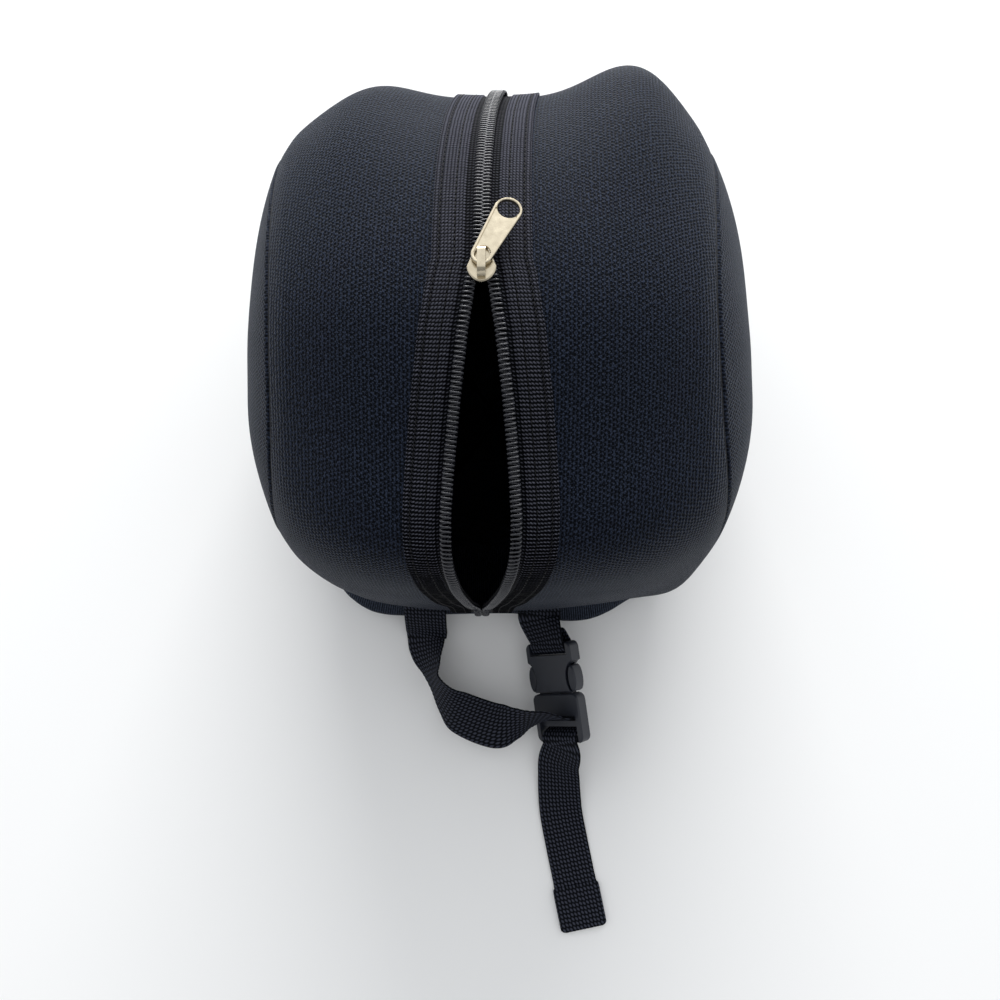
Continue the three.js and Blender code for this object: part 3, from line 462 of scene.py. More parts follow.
for panel in SIDES:
    edge = side_edge(panel, WALL / 2)
    centre = np.array([panel["side"] * (panel["x"] - WALL / 2), panel["y"], panel["z"]])
    net_shares = np.linspace(0, SIDE_INNER, SIDE_NET_RINGS)
    net = (edge[None] + (centre - edge)[None] * net_shares[:, None, None])[..., 1:]
    held = held_sheet(net, edge[:, 0], 0.0)
    blown = held_sheet(net, np.zeros(len(edge)), 1.0)
    full = 1 - (1 - blown / blown.max()) ** SIDE_FULLNESS
    push = centre[0] - held[-1].mean()
    shares = edge_steps(2 * SIDE_INNER, SIDE_ROUND, 2 * SIDE_RINGS)
    shares = shares[shares <= SIDE_INNER]
    rings = edge[None] + (centre - edge)[None] * shares[:, None, None]
    rings[..., 0] = between_rows(held + push * full, shares / SIDE_INNER * (SIDE_NET_RINGS - 1))
    flat = rings[..., 1:]
    half = rounded(np.linalg.norm(flat - flat[:1], axis=-1), WALL / 2)
    out = grid_normals(rings, closed=True) * half[..., None]
    piece = cloth_round(panel["name"] + "_cloth", rings + out, rings - out, wrap(flat))
    dress(piece, spacer_mesh, panel["name"])

# Base: a shallow tray of the same mesh over a stiff board. Its wall rolls out under the rim of the dome, with
# the columns of the knit standing upright in it, and the flat underside rests on the table.
BASE_RINGS = 44
RIM_EDGE_POINTS = 60
RIM_POINTS = 320
RIM_REACH = 3

# Profiles of the tray's two faces: height, and inset from the rim line.
BASE_OUTER = np.array([
    [22.5, 4.9], [21.8, 3.6], [16.5, 0.6], [10, -1.8], [4, -0.6], [1, 3.4], [0, 9], [0, 40],
])
BASE_INNER = np.array([
    [22.5, 4.9], [21.8, 6.1], [16.5, 3.6], [10, 1.2], [5.4, 2.8], [3.6, 6.6], [3, 10.5],
    [3, 40],
])
# Swell of the front wall by its place across the bag, and the share of it that shows by height.
BASE_FRONT = np.array([
    [-102, 1], [-88, 4.8], [-74, 6.6], [-57, 4.2], [-38, 1.2], [-18, 0], [8, 0], [25, 2.6],
    [38, 6], [52, 7], [64, 5], [78, 1], [100, 0],
])
BASE_FRONT_SHARE = np.array([[0, 1], [10, 1], [16.5, 0.3], [22.7, 0]])


def rim_line():
    """The dome's rim seen from above, as a closed line: front edge, right side, back edge, left side."""
    front = np.linspace(-seam_half(0.0, -1), seam_half(0.0, 1), RIM_EDGE_POINTS)[:-1]
    back = np.linspace(seam_half(1.0, 1), -seam_half(1.0, -1), RIM_EDGE_POINTS)[:-1]
    right = side_edge(SIDES[1], 0)[SIDE_EDGE_POINTS - 1:][::-1]
    left = side_edge(SIDES[0], 0)[SIDE_EDGE_POINTS - 1:]
    line = [skin(0.0, front, 0.0), right, skin(1.0, back, 0.0), left]
    return np.concatenate([part[:, :2] for part in line])


def even_line(line, count):
    """A closed line with its points spread evenly along it, and its length."""
    closed = np.concatenate([line, line[:1]])
    run = run_along(closed)
    at = np.linspace(0, run[-1], count + 1)[:-1]
    return np.stack([np.interp(at, run, closed[:, k]) for k in (0, 1)], axis=1), run[-1]


rim, rim_length = even_line(rim_line(), RIM_POINTS)
rim_step = np.roll(rim, -RIM_REACH, axis=0) - np.roll(rim, RIM_REACH, axis=0)
rim_out = unit(np.stack([rim_step[:, 1], -rim_step[:, 0]], axis=1))
rim_swell = by_key(BASE_FRONT, rim[:, 0]) * smooth_step(-rim_out[:, 1], 0, 1)


def base_rings(profile):
    """Rings of the base: the rim line moved inwards by the profile's inset, at the profile's height. Below
    the front rim the swell by place along it, times its share by height, moves the wall out again."""
    row = between_rows(profile, np.linspace(0, len(profile) - 1, BASE_RINGS))
    moved = rim_swell[None] * by_key(BASE_FRONT_SHARE, row[:, 0])[:, None] - row[:, 1][:, None]
    flat = rim[None] + rim_out[None] * moved[..., None]
    height = np.broadcast_to(row[:, 0][:, None, None], flat.shape[:2] + (1,))
    return np.concatenate([flat, height], axis=-1), row


outer_rings, outer_row = base_rings(BASE_OUTER)
inner_rings, _ = base_rings(BASE_INNER)
inner_rings[0] = outer_rings[0]
girth = np.linspace(0, rim_length, len(rim) + 1)[None]
places = np.stack(np.broadcast_arrays(girth, run_along(outer_row)[:, None]), axis=-1)

# The same knit pulled lengthwise over the edge of the board, so that its columns stand out as upright ribs.
WALL_RIB = 0.0013
pulled = new_material("knitted_mesh_pulled_into_ribs", KNIT_FINISH)
cloth = add_node(pulled, "ShaderNodeUVMap", {"uv_map": "cloth"})
split = add_node(pulled, "ShaderNodeSeparateXYZ", None, {0: cloth.outputs[0]})
fuzz = add_node(pulled, "ShaderNodeTexNoise", {"Scale": 900.0, "Detail": 3.0}, {
    "Vector": cloth.outputs[0],
})
rib_phase = add_node(pulled, "ShaderNodeMath", {"operation": "MULTIPLY", 1: np.pi / WALL_RIB}, {
    0: split.outputs[0],
})
rib_turn = add_node(pulled, "ShaderNodeMath", {"operation": "ADD"}, {
    0: rib_phase.outputs[0],
    1: fuzz.outputs[0],
})
rib_wave = add_node(pulled, "ShaderNodeMath", {"operation": "SINE"}, {0: rib_turn.outputs[0]})
rib = add_node(pulled, "ShaderNodeMath", {"operation": "ABSOLUTE"}, {0: rib_wave.outputs[0]})
broken = add_node(pulled, "ShaderNodeMath", {"operation": "MULTIPLY"}, {
    0: rib.outputs[0],
    1: fuzz.outputs[0],
})
rib_colour = add_node(pulled, "ShaderNodeValToRGB", {"ramp": ((0.15, "#04060b"), (0.6, "#3c4453"))}, {
    0: broken.outputs[0],
})
bump = add_node(pulled, "ShaderNodeBump", {"Strength": 0.8, "Distance": 0.0006}, {
    "Height": broken.outputs[0],
})
feed_shader(pulled, {"Base Color": rib_colour.outputs[0], "Normal": bump.outputs[0]})

dress(cloth_round("base_cloth", outer_rings, inner_rings, places), pulled, "base")

# Zip tapes: black woven tape with a coarse cross rib, sewn on top of the mesh edge by two rows of stitches.
# Between the ribbed band and the coil a lower, smoother strip of the tape shows.
TAPE_EDGE = 0.35
BAND_FROM = 6.2
BAND_TO = 17.5
STRIP_TOP = 0.75
BAND_TOP = 1.35
UNDER = 0.35
RIB = 1.42
RIB_DEEP = 0.5
RIB_STEPS = 6
SELVEDGE = 14.9
INNER_LINE = 9.5
LINE_HALF = 0.35
LINE_DEEP = 0.5
STEP_BELOW = 0.4
STEP_ABOVE = 0.3
# Columns of the tape's grid, by their distance before the band's start or before its outer edge.
STRIP_COLUMNS = 5
STRIP_END = 0.5
STEP_FOOT = 0.35
BAND_COLUMNS = 22
BAND_START = 0.2
BAND_END = 0.4
EDGE_FOOT = 0.1
EDGE_DROP = 0.15


def tape_rise(across, run):
    """Height of the tape's top over the mesh: a smooth strip, a step up to the band, and there a rib across
    the tape every RIB millimetres, rounded as the root of a sine. Two lengthwise grooves, bell curves, part
    the band."""
    step = smooth_step(across, BAND_FROM - STEP_BELOW, BAND_FROM + STEP_ABOVE)
    rib = np.sqrt(np.abs(np.sin(np.pi * run / RIB)))
    outer_groove = np.exp(-(((across - SELVEDGE) / LINE_HALF) ** 2))
    inner_groove = np.exp(-(((across - INNER_LINE) / LINE_HALF) ** 2))
    band = BAND_TOP - RIB_DEEP * (1 - rib * (1 - LINE_DEEP * (outer_groove + inner_groove)))
    return STRIP_TOP + (band - STRIP_TOP) * step


def tape_mesh(name, side):
    """A tape as a grid over its top, closed below by a strip from edge to edge and by a face at each end."""
    ribs = int(ZIP_LENGTH / RIB)
    run = (np.arange(ribs * RIB_STEPS + 1) / RIB_STEPS * RIB)[:, None]
    along = np.minimum(run / ZIP_LENGTH, 1)
    offset = np.concatenate([
        [TAPE_EDGE],
        np.linspace(TAPE_EDGE, BAND_FROM - STRIP_END, STRIP_COLUMNS),
        [BAND_FROM - STEP_FOOT],
        np.linspace(BAND_FROM - BAND_START, BAND_TO - BAND_END, BAND_COLUMNS),
        [BAND_TO - EDGE_FOOT, BAND_TO],
    ])[None]
    rise = tape_rise(offset, run)
    rise[:, -2] -= EDGE_DROP
    rise[:, [0, -1]] = UNDER
    top = skin(along, side * (zip_half(along) + offset), rise)
    places = np.stack(np.broadcast_arrays(side * offset, run), axis=-1)
    numbers = np.arange(rise.size).reshape(rise.shape)
    return put_mesh(name, top.reshape(-1, 3), [
        quads(numbers, places),
        quads(numbers[:, [-1, 0]], places[:, [-1, 0]]),
        (numbers[:1], places[:1]),
        (numbers[-1:, ::-1], places[-1:, ::-1]),
    ])


# Woven polyester tape: black yarn in cross ribs that waver a little and break into beads. Its colour is a
# painted highlight on the crowns and painted shade, near black, between them. A dark line of painted shade
# runs along each groove, and painted shade darkens the strip beside the coil.
BEAD = 1.25
LINE_FADE = 0.4
# Painted shade: dark lines along the two grooves and a darker strip beside the coil, as shares of the crown
# mask.
TAPE_PAINTED_SHADE = (
    {"at": SELVEDGE, "half": 0.4, "share": 0.4},
    {"at": INNER_LINE, "half": 0.4, "share": 0.4},
    {"at": 0.0, "half": BAND_FROM, "share": 0.72},
)
tape = new_material("woven_polyester_ribbed_tape", {
    "Roughness": 0.6,
    "IOR": 1.5,
    "Specular IOR Level": 0.02,
    "Sheen Weight": 0.05,
    "Sheen Roughness": 0.25,
})
cloth = add_node(tape, "ShaderNodeUVMap", {"uv_map": "cloth"})
split = add_node(tape, "ShaderNodeSeparateXYZ", None, {0: cloth.outputs[0]})
across = add_node(tape, "ShaderNodeMath", {"operation": "ABSOLUTE"}, {0: split.outputs[0]})
waver = add_node(tape, "ShaderNodeTexNoise", {"Scale": 230.0, "Detail": 3.0}, {
    "Vector": cloth.outputs[0],
})
waver_run = add_node(tape, "ShaderNodeMath", {"operation": "MULTIPLY_ADD", 1: 0.0008}, {
    0: waver.outputs[0],
    2: split.outputs[1],
})
rib_phase = add_node(tape, "ShaderNodeMath", {"operation": "MULTIPLY", 1: np.pi / (RIB * MM)}, {
    0: waver_run.outputs[0],
})
rib_wave = add_node(tape, "ShaderNodeMath", {"operation": "SINE"}, {0: rib_phase.outputs[0]})
rib = add_node(tape, "ShaderNodeMath", {"operation": "ABSOLUTE"}, {0: rib_wave.outputs[0]})
bead_phase = add_node(tape, "ShaderNodeMath", {"operation": "MULTIPLY_ADD", 1: np.pi / (BEAD * MM)}, {
    0: across.outputs[0],
    2: rib_phase.outputs[0],
})
bead_wave = add_node(tape, "ShaderNodeMath", {"operation": "SINE"}, {0: bead_phase.outputs[0]})
bead = add_node(tape, "ShaderNodeMath", {"operation": "ABSOLUTE"}, {0: bead_wave.outputs[0]})
bead_share = add_node(tape, "ShaderNodeMapRange", {"To Min": 0.5, "To Max": 1.0}, {
    "Value": bead.outputs[0],
})
painted_crown_light = add_node(tape, "ShaderNodeMath", {"operation": "MULTIPLY"}, {
    0: rib.outputs[0],
    1: bead_share.outputs[0],
})
# Painted shade: each groove line and the strip beside the coil darken the crown mask.
for dark in TAPE_PAINTED_SHADE:
    off = add_node(tape, "ShaderNodeMath", {"operation": "SUBTRACT", 1: dark["at"] * MM}, {
        0: across.outputs[0],
    })
    away = add_node(tape, "ShaderNodeMath", {"operation": "ABSOLUTE"}, {0: off.outputs[0]})
    beside = add_node(tape, "ShaderNodeMapRange", {
        "From Min": (dark["half"] - LINE_FADE) * MM,
        "From Max": dark["half"] * MM,
        "To Min": dark["share"],
    }, {"Value": away.outputs[0]})
    painted_crown_light = add_node(tape, "ShaderNodeMath", {"operation": "MULTIPLY"}, {
        0: painted_crown_light.outputs[0],
        1: beside.outputs[0],
    })
# Painted highlight and shade: the ramp runs from near black between the ribs to light on the crowns.
tape_colour = add_node(tape, "ShaderNodeValToRGB", {"ramp": ((0.5, "#020305"), (0.95, "#5a5b66"))}, {
    0: painted_crown_light.outputs[0],
})
bump = add_node(tape, "ShaderNodeBump", {"Strength": 0.7, "Distance": 0.0005}, {
    "Height": painted_crown_light.outputs[0],
})
feed_shader(tape, {"Base Color": tape_colour.outputs[0], "Normal": bump.outputs[0]})

for name, side in (("zip_tape_left", -1), ("zip_tape_right", 1)):
    dress(tape_mesh(name + "_woven", side), tape, name)

# Zip coils: each strand is one nylon wire wound in flattened turns and sewn to the edge of its tape. Behind
# the slider the turns of the two strands hook into each other.
COIL_PITCH = 1.65
COIL_MIDDLE = 2.15
COIL_HALF = 1.85
COIL_LOW = 1.5
COIL_TOP = 2.9
COIL_CLOSE = 1.0
COIL_END = 2
COIL_SQUARE = 0.7
CLOSE_BEFORE = 0.004
CLOSE_AFTER = 0.02
WIRE = 0.36
WIRE_SIDES = 6
TURN_STEPS = 16
TUBE_AXIS = np.array([0.21, 0.93, 0.3])


def tube(path, radius, sides):
    """A round wire along a path: a circle in the plane across the path at each point. The first direction
    across is square to the path and to a fixed axis."""
    line = unit(np.gradient(path, axis=0))
    first = unit(np.cross(line, TUBE_AXIS))
    second = np.cross(line, first)
    angle = np.linspace(0, 2 * np.pi, sides + 1)[:-1, None]
    ring = first[:, None] * np.cos(angle) + second[:, None] * np.sin(angle)
    return path[:, None] + radius * ring


def tube_patches(rows, sides, start=0):
    """The faces of a tube, with a face over each end."""
    numbers = start + np.arange(rows * sides).reshape(rows, sides)
    places = np.stack(np.meshgrid(np.arange(sides + 1.0), np.arange(float(rows))), axis=-1)
    return [
        quads(wrap(numbers), places),
        (numbers[:1], places[:1, :sides]),
        (numbers[-1:, ::-1], places[-1:, sides - 1::-1]),
    ]


def coil_path(side):
    """The wire's middle line: it runs along the strand by one pitch a turn while it goes round a flattened
    circle, across the strand by its cosine and away from the tape by its sine. Behind the slider it lies
    further in, and one strand is half a pitch along from the other."""
    turns = int((ZIP_LENGTH - 2 * COIL_END) / COIL_PITCH)
    angle = np.arange(turns * TURN_STEPS + 1) / TURN_STEPS * 2 * np.pi
    run = COIL_END + COIL_PITCH * angle / (2 * np.pi) + (COIL_PITCH / 2 if side > 0 else 0)
    along = run / ZIP_LENGTH
    closed = COIL_CLOSE * smooth_step(along, SLIDER_AT - CLOSE_BEFORE, SLIDER_AT + CLOSE_AFTER)
    round_x = -np.sign(np.cos(angle)) * np.abs(np.cos(angle)) ** COIL_SQUARE
    across = COIL_MIDDLE - closed + COIL_HALF * round_x
    rise = (COIL_LOW + COIL_TOP) / 2 + (COIL_TOP - COIL_LOW) / 2 * np.sin(angle)
    return skin(along, side * (zip_half(along) + across), rise)


# Black nylon monofilament: smooth drawn wire with a satin gloss along each turn.
nylon = new_material("drawn_nylon_wire", {"Roughness": 0.22, "IOR": 1.53})
place = add_node(nylon, "ShaderNodeTexCoord")
dust = add_node(nylon, "ShaderNodeTexNoise", {"Scale": 600.0, "Detail": 2.0}, {
    "Vector": place.outputs["Object"],
})
wire_colour = add_node(nylon, "ShaderNodeValToRGB", {"ramp": ((0.0, "#1f2024"), (1.0, "#393a40"))}, {
    0: dust.outputs[0],
})
feed_shader(nylon, {"Base Color": wire_colour.outputs[0]})

for name, side in (("zip_coil_left", -1), ("zip_coil_right", 1)):
    rings = tube(coil_path(side), WIRE, WIRE_SIDES)
    piece = put_mesh(name + "_wire", rings.reshape(-1, 3), tube_patches(len(rings), WIRE_SIDES))
    dress(piece, nylon, name)

# Stitches of the tapes: polyester thread in a lockstitch, one row along each of the two grooves of the ribbed
# band, through tape and mesh.
STITCH_LENGTH = 2.2
STITCH_PITCH = 2.84
STITCH_RADIUS = 0.2
STITCH_ROWS = [INNER_LINE, SELVEDGE]
STITCH_POINTS = 6
STITCH_SIDES = 5
STITCH_END = 3
STITCH_SUNK = 0.4
STITCH_ARCH = 0.34
STITCH_SQUARE = 0.6


def stitch_row(side, offset):
    """The stitches of one row as short wires that dip into the tape at both ends, as a power of half a sine
    wave."""
    count = int((ZIP_LENGTH - 2 * STITCH_END) / STITCH_PITCH)
    share = np.linspace(0, 1, STITCH_POINTS)
    run = STITCH_END + np.arange(count)[:, None] * STITCH_PITCH + share[None] * STITCH_LENGTH
    rise = BAND_TOP - STITCH_SUNK + STITCH_ARCH * np.sin(np.pi * share)[None] ** STITCH_SQUARE
    along = run / ZIP_LENGTH
    return skin(along, side * (zip_half(along) + offset), rise)


def stitch_mesh(name, stitches):
    """All the stitches of one side as one mesh of short closed wires."""
    points = []
    patches = []
    for number, path in enumerate(stitches):
        points.append(tube(path, STITCH_RADIUS, STITCH_SIDES).reshape(-1, 3))
        patches.extend(tube_patches(STITCH_POINTS, STITCH_SIDES, number * STITCH_POINTS * STITCH_SIDES))
    return put_mesh(name, np.concatenate(points), patches)


# Spun polyester thread: black and dull, sunk into the grooves of the tape.
thread = new_material("spun_polyester_thread", {"Roughness": 0.6, "IOR": 1.5, "Specular IOR Level": 0.2})
place = add_node(thread, "ShaderNodeTexCoord")
strands = add_node(thread, "ShaderNodeTexNoise", {"Scale": 1800.0, "Detail": 1.0}, {
    "Vector": place.outputs["Object"],
})
thread_colour = add_node(thread, "ShaderNodeValToRGB", {"ramp": ((0.0, "#08090b"), (1.0, "#1a1a1e"))}, {
    0: strands.outputs[0],
})
feed_shader(thread, {"Base Color": thread_colour.outputs[0]})


def sew(piece):
    """Gives a piece of thread its material and lets it move with the bag."""
    piece.data.materials.append(thread)
    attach(piece, "bag")


for name, side in (("tape_stitches_left", -1), ("tape_stitches_right", 1)):
    sew(stitch_mesh(name, np.concatenate([stitch_row(side, offset) for offset in STITCH_ROWS])))

# Seams: the edges of gusset and side panel are overlocked together with the same thread, which shows as a
# thin dark line at the bottom of the groove between them. A thicker roll of it joins the dome's rim to the
# base.
OVERLOCK_RADIUS = 0.75
OVERLOCK_STEPS = 300
OVERLOCK_SIDES = 8
RIM_ROLL = {"inset": 2.5, "height": 22.5, "radius": 2.2}

for name, side in (("seam_overlock_left", -1), ("seam_overlock_right", 1)):
    along = np.linspace(0, 1, OVERLOCK_STEPS)
    seam = skin(along, side * seam_half(along, side), -WALL / 2)
    rings = tube(seam, OVERLOCK_RADIUS, OVERLOCK_SIDES)
    sew(put_mesh(name, rings.reshape(-1, 3), tube_patches(OVERLOCK_STEPS, OVERLOCK_SIDES)))


def rim_roll(name):
    """A closed ring: a circle across the rim line, out by its cosine and up by its sine, carried round the
    rim."""
    angle = np.linspace(0, 2 * np.pi, OVERLOCK_SIDES + 1)[:-1]
    moved = RIM_ROLL["radius"] * np.cos(angle) - RIM_ROLL["inset"]
    flat = rim[:, None] + rim_out[:, None] * moved[None, :, None]
    height = RIM_ROLL["height"] + RIM_ROLL["radius"] * np.sin(angle)
    height = np.broadcast_to(height[None, :, None], flat.shape[:2] + (1,))
    points = np.concatenate([flat, height], axis=-1).reshape(-1, 3)
    numbers = np.arange(len(points)).reshape(-1, OVERLOCK_SIDES)
    numbers = np.pad(numbers, ((0, 1), (0, 1)), mode="wrap")
    places = np.stack(np.meshgrid(np.arange(OVERLOCK_SIDES + 1.0), np.arange(len(rim) + 1.0)), axis=-1)
    return put_mesh(name, points, [quads(numbers, places)])


sew(rim_roll("rim_overlock"))

# Zip slider and pull tab: die-cast and plated with warm nickel. The slider's shield closes the coils, its
# bridge holds the tab, and the tab has a raised rim, a hooked end and a large hole at its free end. The
# roundings of edges are in metres.
SLIDER_ROUND = 0.00022
PULL_ROUND = 0.00018
WELD_WITHIN = 0.00002
SHARP_ANGLE = np.radians(28)
ROUND_SEGMENTS = 3
nickel = new_material("plated_nickel", {"Metallic": 1.0, "Roughness": 0.2})
place = add_node(nickel, "ShaderNodeTexCoord")
haze = add_node(nickel, "ShaderNodeTexNoise", {"Scale": 420.0, "Detail": 4.0}, {
    "Vector": place.outputs["Object"],
})
nickel_colour = add_node(nickel, "ShaderNodeValToRGB", {
    "ramp": ((0.3, "#c3b8a1"), (0.7, "#cfc4ad")),
}, {0: haze.outputs[0]})
gloss = add_node(nickel, "ShaderNodeMapRange", {"To Min": 0.16, "To Max": 0.28}, {
    "Value": haze.outputs[0],
})
feed_shader(nickel, {"Base Color": nickel_colour.outputs[0], "Roughness": gloss.outputs[0]})


def soften_edges(node, material, width):
    """Keeps a solid's own mesh, welds its corners, rounds its sharp edges and gives it a finish."""
    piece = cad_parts[node]
    piece.data.materials.clear()
    piece.data.materials.append(material)
    weld = piece.modifiers.new("weld", "WELD")
    weld.merge_threshold = WELD_WITHIN
    bevel = piece.modifiers.new("round", "BEVEL")
    bevel.width = width
    bevel.segments = ROUND_SEGMENTS
    bevel.limit_method = "ANGLE"
    bevel.angle_limit = SHARP_ANGLE
    bevel.use_clamp_overlap = True
    piece.modifiers.new("normals", "WEIGHTED_NORMAL")
    piece.data.polygons.foreach_set("use_smooth", np.ones(len(piece.data.polygons), bool))


soften_edges("zip_slider", nickel, SLIDER_ROUND)
soften_edges("zip_pull", nickel, PULL_ROUND)

# Buckle: a side-release pair, socket and clip, moulded in black acetal with a fine spark-eroded grain. The
# straps go round bars at its two ends.
BUCKLE_ROUND = 0.0003
acetal = new_material("moulded_black_acetal", {"Roughness": 0.42, "IOR": 1.48})
place = add_node(acetal, "ShaderNodeTexCoord")
grain = add_node(acetal, "ShaderNodeTexNoise", {"Scale": 2200.0, "Detail": 2.0}, {
    "Vector": place.outputs["Object"],
})
handling = add_node(acetal, "ShaderNodeTexNoise", {"Scale": 120.0, "Detail": 3.0}, {
    "Vector": place.outputs["Object"],
})
acetal_colour = add_node(acetal, "ShaderNodeValToRGB", {"ramp": ((0.0, "#191c24"), (1.0, "#272b35"))}, {
    0: handling.outputs[0],
})
gloss = add_node(acetal, "ShaderNodeMapRange", {"To Min": 0.36, "To Max": 0.5}, {
    "Value": handling.outputs[0],
})
bump = add_node(acetal, "ShaderNodeBump", {"Strength": 0.12, "Distance": 0.0001}, {
    "Height": grain.outputs[0],
})
feed_shader(acetal, {
    "Base Color": acetal_colour.outputs[0],
    "Roughness": gloss.outputs[0],
    "Normal": bump.outputs[0],
})
soften_edges("buckle_socket", acetal, BUCKLE_ROUND)
soften_edges("buckle_clip", acetal, BUCKLE_ROUND)

# Straps: 25 mm polypropylene webbing. The long one leaves the front seam on the left, turns over, goes
# through the clip's bars and ends in a folded hem; the short one loops round the socket's bar.
WEB_WIDTH = 25.0
WEB_THICK = 1.3
LEG_ACROSS = 33.6
SQUARING = 0.8
END_ROUND = 2.0
EDGE_SHARE = 0.05
STRAP_LINE_POINTS = 3001
STRAP_STEP = 0.4
FACE_STEPS = 62
BUCKLE = {"x": 33.8, "y": -168.1, "z": 16.6, "heading": 7.5, "roll": 42}

# Legs from the seam: out from the rim, height, and the share of the turn into the buckle's width.
OUT, HEIGHT, TURN = range(3)
STRAP_LEG = np.array([[-1.3, 21.7, 0], [1.6, 20.3, 0], [5.6, 17.8, 0], [9.8, 13.6, 0], [13.2, 9.4, 0]])
SHORT_LEG = np.array([[-1.3, 21.7, 0], [1.8, 20.4, 0.1], [5.6, 20, 0.45]])
# Free lengths: place, direction across the width, and thickness and width as shares of the webbing's own.
PLACE = slice(0, 3)
ACROSS = slice(3, 6)
THICK_SHARE = slice(6, 7)
WIDTH_SHARE = slice(7, 8)
STRAP_COLUMNS = 8
STRAP_LOOP = np.array([
    [-44.6, -137, 5.8, 0.95, 0, 0.31, 1, 1],
    [-43.9, -143.8, 7.6, 0.85, 0, 0.53, 1, 1],
    [-41.9, -152.4, 10.8, 0.6, 0.08, 0.79, 1, 1],
    [-39, -162, 13, 0.33, 0.2, 0.92, 1, 1],
    [-31.2, -173, 17, 0.4, 0.57, 0.71, 1, 1],
    [-21.9, -179.5, 21, 0.516, 0.82, 0.25, 1, 1],
    [-3, -185.6, 25, 0.385, 0.925, 0.03, 1, 1],
    [10, -184.8, 25.5, 0.3, 0.76, 0.56, 1, 1],
    [21, -182.4, 24, 0.52, 0.46, 0.72, 1, 1],
])
STRAP_TAIL = np.array([
    [34, -209, 12.8, 0.87, 0.05, 0.49, 1, 1],
    [34.4, -217.5, 8, 0.94, 0.06, 0.34, 1, 1],
    [35, -228, 4.2, 0.98, 0.08, 0.18, 1, 1],
    [36.2, -240, 2, 0.99, 0.12, 0.06, 1, 1],
    [39.2, -255.8, 1.1, 0.985, 0.17, 0, 1, 1],
    [43.8, -278.4, 1.1, 0.983, 0.18, 0, 1, 1],
    [44.4, -281.4, 1.7, 0.983, 0.18, 0, 2, 1.08],
    [48.8, -303, 1.7, 0.983, 0.18, 0, 2, 1.08],
])
# Lengths in the buckle: along it from its middle, and out from its middle plane.
STRAP_CLIP = np.array([
    [-13.8, 6.4], [-14, 1.6], [-15.1, -2.7], [-17.6, -4.3], [-20.3, -2.6], [-21.5, 1],
    [-23.4, 4], [-26.6, 4.9], [-31.5, 3.6],
])
STRAP_SOCKET = np.array([
    [31, 4.6], [27, 4.3], [23.6, 2.6], [22.7, 0], [24, -2.8], [27.5, -3.9], [32, -1.6],
    [37, 1.6],
])
# Weave: the size and depth of a float, its lean, how far columns are set along, and its roundness.
WEAVE_ALONG = 2.5
WEAVE_ACROSS = 2.05
WEAVE_DEEP = 0.4
WEAVE_LEAN = -0.55
WEAVE_SHIFT = 0.08
WEAVE_TURN = 2.4
ROUND_ALONG = 0.7
ROUND_ACROSS = 0.5

heading = np.radians(BUCKLE["heading"])
roll = np.radians(BUCKLE["roll"])
buckle_along = np.array([-np.sin(heading), np.cos(heading), 0])
buckle_across = np.array([np.cos(heading) * np.cos(roll), np.sin(heading) * np.cos(roll), np.sin(roll)])
buckle_face = np.cross(buckle_across, buckle_along)


def leg_rows(table, across):
    """Rows of a strap as it leaves the front seam: out from the rim line, its width along that line, and then
    turning by a share into the buckle's width."""
    rim_point = skin(0.0, across, 0.0)
    width = unit(skin(0.0, across + WEB_WIDTH / 2, 0.0) - skin(0.0, across - WEB_WIDTH / 2, 0.0))
    rows = np.ones((len(table), STRAP_COLUMNS))
    rows[:, 0] = rim_point[0]
    rows[:, 1] = rim_point[1] - table[:, OUT]
    rows[:, 2] = table[:, HEIGHT]
    rows[:, ACROSS] = width + (buckle_across - width) * table[:, TURN:]
    return rows


def buckle_rows(table):
    """Rows of a strap in the buckle: its middle moved along it and out from its middle plane."""
    rows = np.ones((len(table), STRAP_COLUMNS))
    rows[:, PLACE] = [BUCKLE["x"], BUCKLE["y"], BUCKLE["z"]]
    rows[:, PLACE] += table[:, :1] * buckle_along + table[:, 1:] * buckle_face
    rows[:, ACROSS] = buckle_across
    return rows


def weave(across, run):
    """Depth of the webbing's face below its crowns: in each cell of the weave one float, rounded across as
    the root of a sine and along as a power of a sine that leans to one side, each column set a little along
    from the last."""
    column = (across + WEB_WIDTH / 2) / WEAVE_ACROSS
    lean = WEAVE_LEAN * (column - np.floor(column) - 0.5)
    shift = WEAVE_SHIFT * np.sin(np.floor(column) * WEAVE_TURN)
    float_along = np.abs(np.sin(np.pi * (run / WEAVE_ALONG + lean + shift)))
    float_across = np.abs(np.sin(np.pi * column))
    return WEAVE_DEEP * (1 - float_along ** ROUND_ALONG * float_across ** ROUND_ACROSS)


